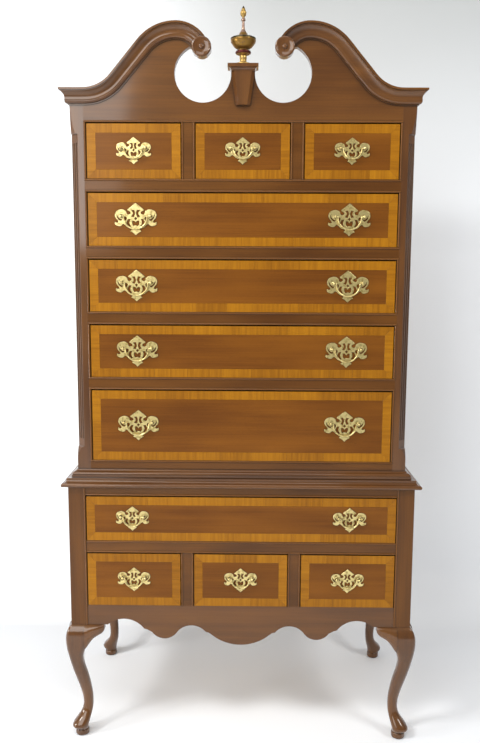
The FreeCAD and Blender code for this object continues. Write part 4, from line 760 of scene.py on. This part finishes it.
def pull_plates(drawer, settings, material):
    """A drawer's pierced plates with their posts."""
    name = drawer.replace("drawer_", "plates_")
    low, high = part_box(name)
    pivots = pulls_of(drawer)
    width = high.x - low.x - (max(p.x for p in pivots) - min(p.x for p in pivots))
    # The outline is drawn from a place a little above the middle between its cap and its pendant.
    middle_height = (low.z + high.z) / 2 - (PLATE_EDGE[0][1] + PLATE_EDGE[-1][1]) / 2 * width
    build = bmesh.new()
    for pivot in pivots:
        add_plate(build, width, Vector((pivot.x, pivot.y + settings.post_reach, middle_height)), settings)
        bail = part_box(name.replace("plates_", "bail_") + side_of(pivot, pivots))
        reach = (bail[1].x - bail[0].x) / 2 - settings.ball_radius / 2
        for way in (-1, 1):
            pull_post(build, pivot.x + way * reach, pivot.y, pivot.z, settings)
    bmesh.ops.remove_doubles(build, verts=build.verts, dist=1e-6)
    bmesh.ops.dissolve_degenerate(build, edges=build.edges, dist=1e-6)
    bmesh.ops.recalc_face_normals(build, faces=build.faces)
    piece = new_piece(name.replace("plates_", "pierced_"), build, [material], drawer)
    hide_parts(name)


# --------------------------------------------------------------------------------------------
# Operators
# --------------------------------------------------------------------------------------------
class HIGHBOY_OT_case(bpy.types.Operator):
    """Finish the legs, posts, rails, mouldings, sides and pediment in mahogany"""
    bl_idname = "highboy.case"
    bl_label = "Case"

    def execute(self, context):
        wood = context.scene.highboy_wood

        def upright(tree):
            return along_axis(tree, "Z")

        def level(tree):
            return along_axis(tree, "X")

        finish_with(UPRIGHT, mahogany("mahogany_upright_lacquered", wood, upright))
        finish_with(CARVED, mahogany("mahogany_carved_rubbed_bright", wood, upright, gloss=1.0))
        finish_with(LEVEL, mahogany("mahogany_level_lacquered", wood, level, gloss=0.75))
        finish_with(MITRED, mahogany("mahogany_mitred_lacquered", wood, along_mitre, gloss=1.0))
        base_face, chest_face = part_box("base_apron")[0].y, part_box("tympanum")[0].y
        for name, grain, face in (("base_posts", upright, base_face),
                                  ("base_front_frame", level, base_face),
                                  ("chest_front_frame", level, chest_face)):
            finish_with([name], mahogany(f"mahogany_{name}_beads_painted_highlight", wood, grain, face, 0.35))
        return {"FINISHED"}


class HIGHBOY_OT_inside(bpy.types.Operator):
    """Finish the runners, boards and backs in plain poplar"""
    bl_idname = "highboy.inside"
    bl_label = "Inside"

    def execute(self, context):
        wood = context.scene.highboy_wood
        finish_with(["drawer_runners", "chest_boards"], inside_wood(wood, "poplar_planed_deep", "Y"))
        finish_with(["back_boards"], inside_wood(wood, "poplar_planed_upright", "Z"))
        return {"FINISHED"}


class HIGHBOY_OT_drawers(bpy.types.Operator):
    """Finish the drawer boxes, and lay the field and the crossbanding on every drawer front"""
    bl_idname = "highboy.drawers"
    bl_label = "Drawers"

    def execute(self, context):
        wood, veneer = context.scene.highboy_wood, context.scene.highboy_veneer
        materials = [field_veneer(wood), band_veneer(veneer)]
        for name in DRAWERS:
            finish_with([name], drawer_wood(wood, name))
            veneered_front(name, veneer, materials)
        return {"FINISHED"}


class HIGHBOY_OT_pulls(bpy.types.Operator):
    """Finish the bails in brass, and make the pierced back plates with their posts"""
    bl_idname = "highboy.pulls"
    bl_label = "Pulls"

    def execute(self, context):
        metal = context.scene.highboy_metal
        shine = brass(metal)
        finish_with([name for name in NODES if name.startswith(("plates_", "bail_"))], shine)
        for name in DRAWERS:
            pull_plates(name, metal, shine)
        return {"FINISHED"}


class HIGHBOY_OT_finial(bpy.types.Operator):
    """Gild the finial"""
    bl_idname = "highboy.finial"
    bl_label = "Finial"

    def execute(self, context):
        finish_with(["finial"], gilding(context.scene.highboy_metal))
        return {"FINISHED"}


class HIGHBOY_OT_stage(bpy.types.Operator):
    """Set the floor, the backdrop, the lamps and the camera"""
    bl_idname = "highboy.stage"
    bl_label = "Stage"

    def execute(self, context):
        stage = context.scene.highboy_stage
        paint = painted_backdrop(stage)
        self.lay_floor(paint)
        self.hang_backdrop(paint, stage.wall_place)
        self.light(context.scene)
        self.aim_camera(context.scene, stage)
        context.scene.view_settings.view_transform = "Standard"
        return {"FINISHED"}

    def staged(self, name, build, paint):
        """An object of the stage from a bmesh, with its paint."""
        data = bpy.data.meshes.new(name)
        build.to_mesh(data)
        build.free()
        data.materials.append(paint)
        thing = bpy.data.objects.new(name, data)
        bpy.context.scene.collection.objects.link(thing)
        return thing

    def lay_floor(self, paint):
        """A round floor, wide enough for every view."""
        build = bmesh.new()
        bmesh.ops.create_circle(build, cap_ends=True, segments=96, radius=FLOOR_RADIUS)
        self.staged("floor", build, paint)

    def hang_backdrop(self, paint, place):
        """A board that rises from just above the floor in a cove. It throws no shadow, and the light that
        matt surfaces give each other passes it; gloss and metal show it."""
        cove, top, half, steps, lift = 0.18, 6.0, 9.0, 12, 0.0004
        profile = [(place - cove, lift)]
        for step in range(1, steps + 1):
            angle = math.pi / 2 * step / steps
            profile.append((place - cove + cove * math.sin(angle), lift + cove * (1 - math.cos(angle))))
        profile.append((place, top))
        build = bmesh.new()
        rows = [[build.verts.new((x, y, z)) for y, z in profile] for x in (-half, half)]
        for index in range(len(profile) - 1):
            face = build.faces.new((rows[0][index], rows[1][index], rows[1][index + 1],
                                    rows[0][index + 1]))
            face.smooth = True
        board = self.staged("backdrop", build, paint)
        board.visible_diffuse = False
        board.visible_shadow = False

    def light(self, scene):
        """A soft room and five area lamps."""
        world = bpy.data.worlds.new("studio")
        scene.world = world
        world.use_nodes = True
        tree = world.node_tree
        tree.nodes.clear()
        # A pale wall behind the highboy; the room in front of it is dimmer.
        away = node(tree, "SeparateXYZ", None, {0: node(tree, "TexCoord")["Generated"]})[1]
        level = ranged(tree, away, -0.25, 0.35, 0.37, 0.6)
        room = node(tree, "Background", None, {"Color": linear("#f6f7f9"), "Strength": level})[0]
        node(tree, "OutputWorld", None, {"Surface": room})
        # Each lamp's name, place, aim, size and power in watts.
        lamps = [("key", (-2.3, -2.0, 3.5), (0.1, -0.2, 0.7), (0.8, 0.8), 76),
                 ("window", (-1.64, -3.7, 2.8), (0.0, -0.2, 1.2), (1.7, 2.8), 68),
                 ("fill", (2.3, -2.0, 3.2), (0.2, 0.0, 0.8), (0.9, 0.9), 42),
                 ("top", (0.0, -1.9, 3.9), (0.0, -0.2, 1.0), (1.4, 1.4), 17),
                 ("sweep", (-2.6, -1.1, 0.9), (0.0, 0.1, 0.2), (0.6, 0.6), 30)]
        for name, place, target, size, power in lamps:
            lamp = bpy.data.lights.new(name, "AREA")
            lamp.shape = "RECTANGLE"
            lamp.size, lamp.size_y = size
            lamp.energy = power
            thing = bpy.data.objects.new(name, lamp)
            thing.visible_camera = False
            scene.collection.objects.link(thing)
            thing.location = place
            thing.rotation_mode = "QUATERNION"
            thing.rotation_quaternion = (Vector(target) - Vector(place)).to_track_quat("-Z", "Y")

    def aim_camera(self, scene, stage):
        """A camera a little above the highboy's middle, that looks slightly down."""
        data = bpy.data.cameras.new("camera")
        data.sensor_width = 36.0
        data.lens = stage.lens
        camera = bpy.data.objects.new("camera", data)
        scene.collection.objects.link(camera)
        look = Matrix.Rotation(stage.turn, 3, "Z") @ Matrix.Rotation(math.pi / 2 - stage.dip, 3, "X")
        look = look @ Matrix.Rotation(stage.tilt, 3, "Z")
        camera.matrix_world = Matrix.Translation(Vector(stage.eye)) @ look.to_4x4()
        scene.camera = camera


class HIGHBOY_PT_pieces(bpy.types.Panel):
    """The highboy's pieces, sizes and colours"""
    bl_idname = "HIGHBOY_PT_pieces"
    bl_label = "Highboy"
    bl_space_type = "VIEW_3D"
    bl_region_type = "UI"
    bl_category = "Highboy"

    def draw(self, context):
        for operator in OPERATORS:
            self.layout.operator(operator.bl_idname)
        for name in GROUPS:
            group = getattr(context.scene, name)
            box = self.layout.box()
            for key in type(group).__annotations__:
                box.prop(group, key)


GROUPS = {
    "highboy_wood": HighboyWood,
    "highboy_veneer": HighboyVeneer,
    "highboy_metal": HighboyMetal,
    "highboy_stage": HighboyStage,
}
OPERATORS = [HIGHBOY_OT_stage, HIGHBOY_OT_case, HIGHBOY_OT_inside, HIGHBOY_OT_drawers,
             HIGHBOY_OT_pulls, HIGHBOY_OT_finial]


def register():
    for kind in [*GROUPS.values(), *OPERATORS, HIGHBOY_PT_pieces]:
        bpy.utils.register_class(kind)
    for name, kind in GROUPS.items():
        setattr(bpy.types.Scene, name, bpy.props.PointerProperty(type=kind))


def unregister():
    for name in GROUPS:
        delattr(bpy.types.Scene, name)
    for kind in [HIGHBOY_PT_pieces, *reversed(OPERATORS), *reversed(GROUPS.values())]:
        bpy.utils.unregister_class(kind)


def main():
    """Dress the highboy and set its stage."""
    register()
    bpy.ops.highboy.stage()
    bpy.ops.highboy.case()
    bpy.ops.highboy.inside()
    bpy.ops.highboy.drawers()
    bpy.ops.highboy.pulls()
    bpy.ops.highboy.finial()


if __name__ == "__main__":
    main()
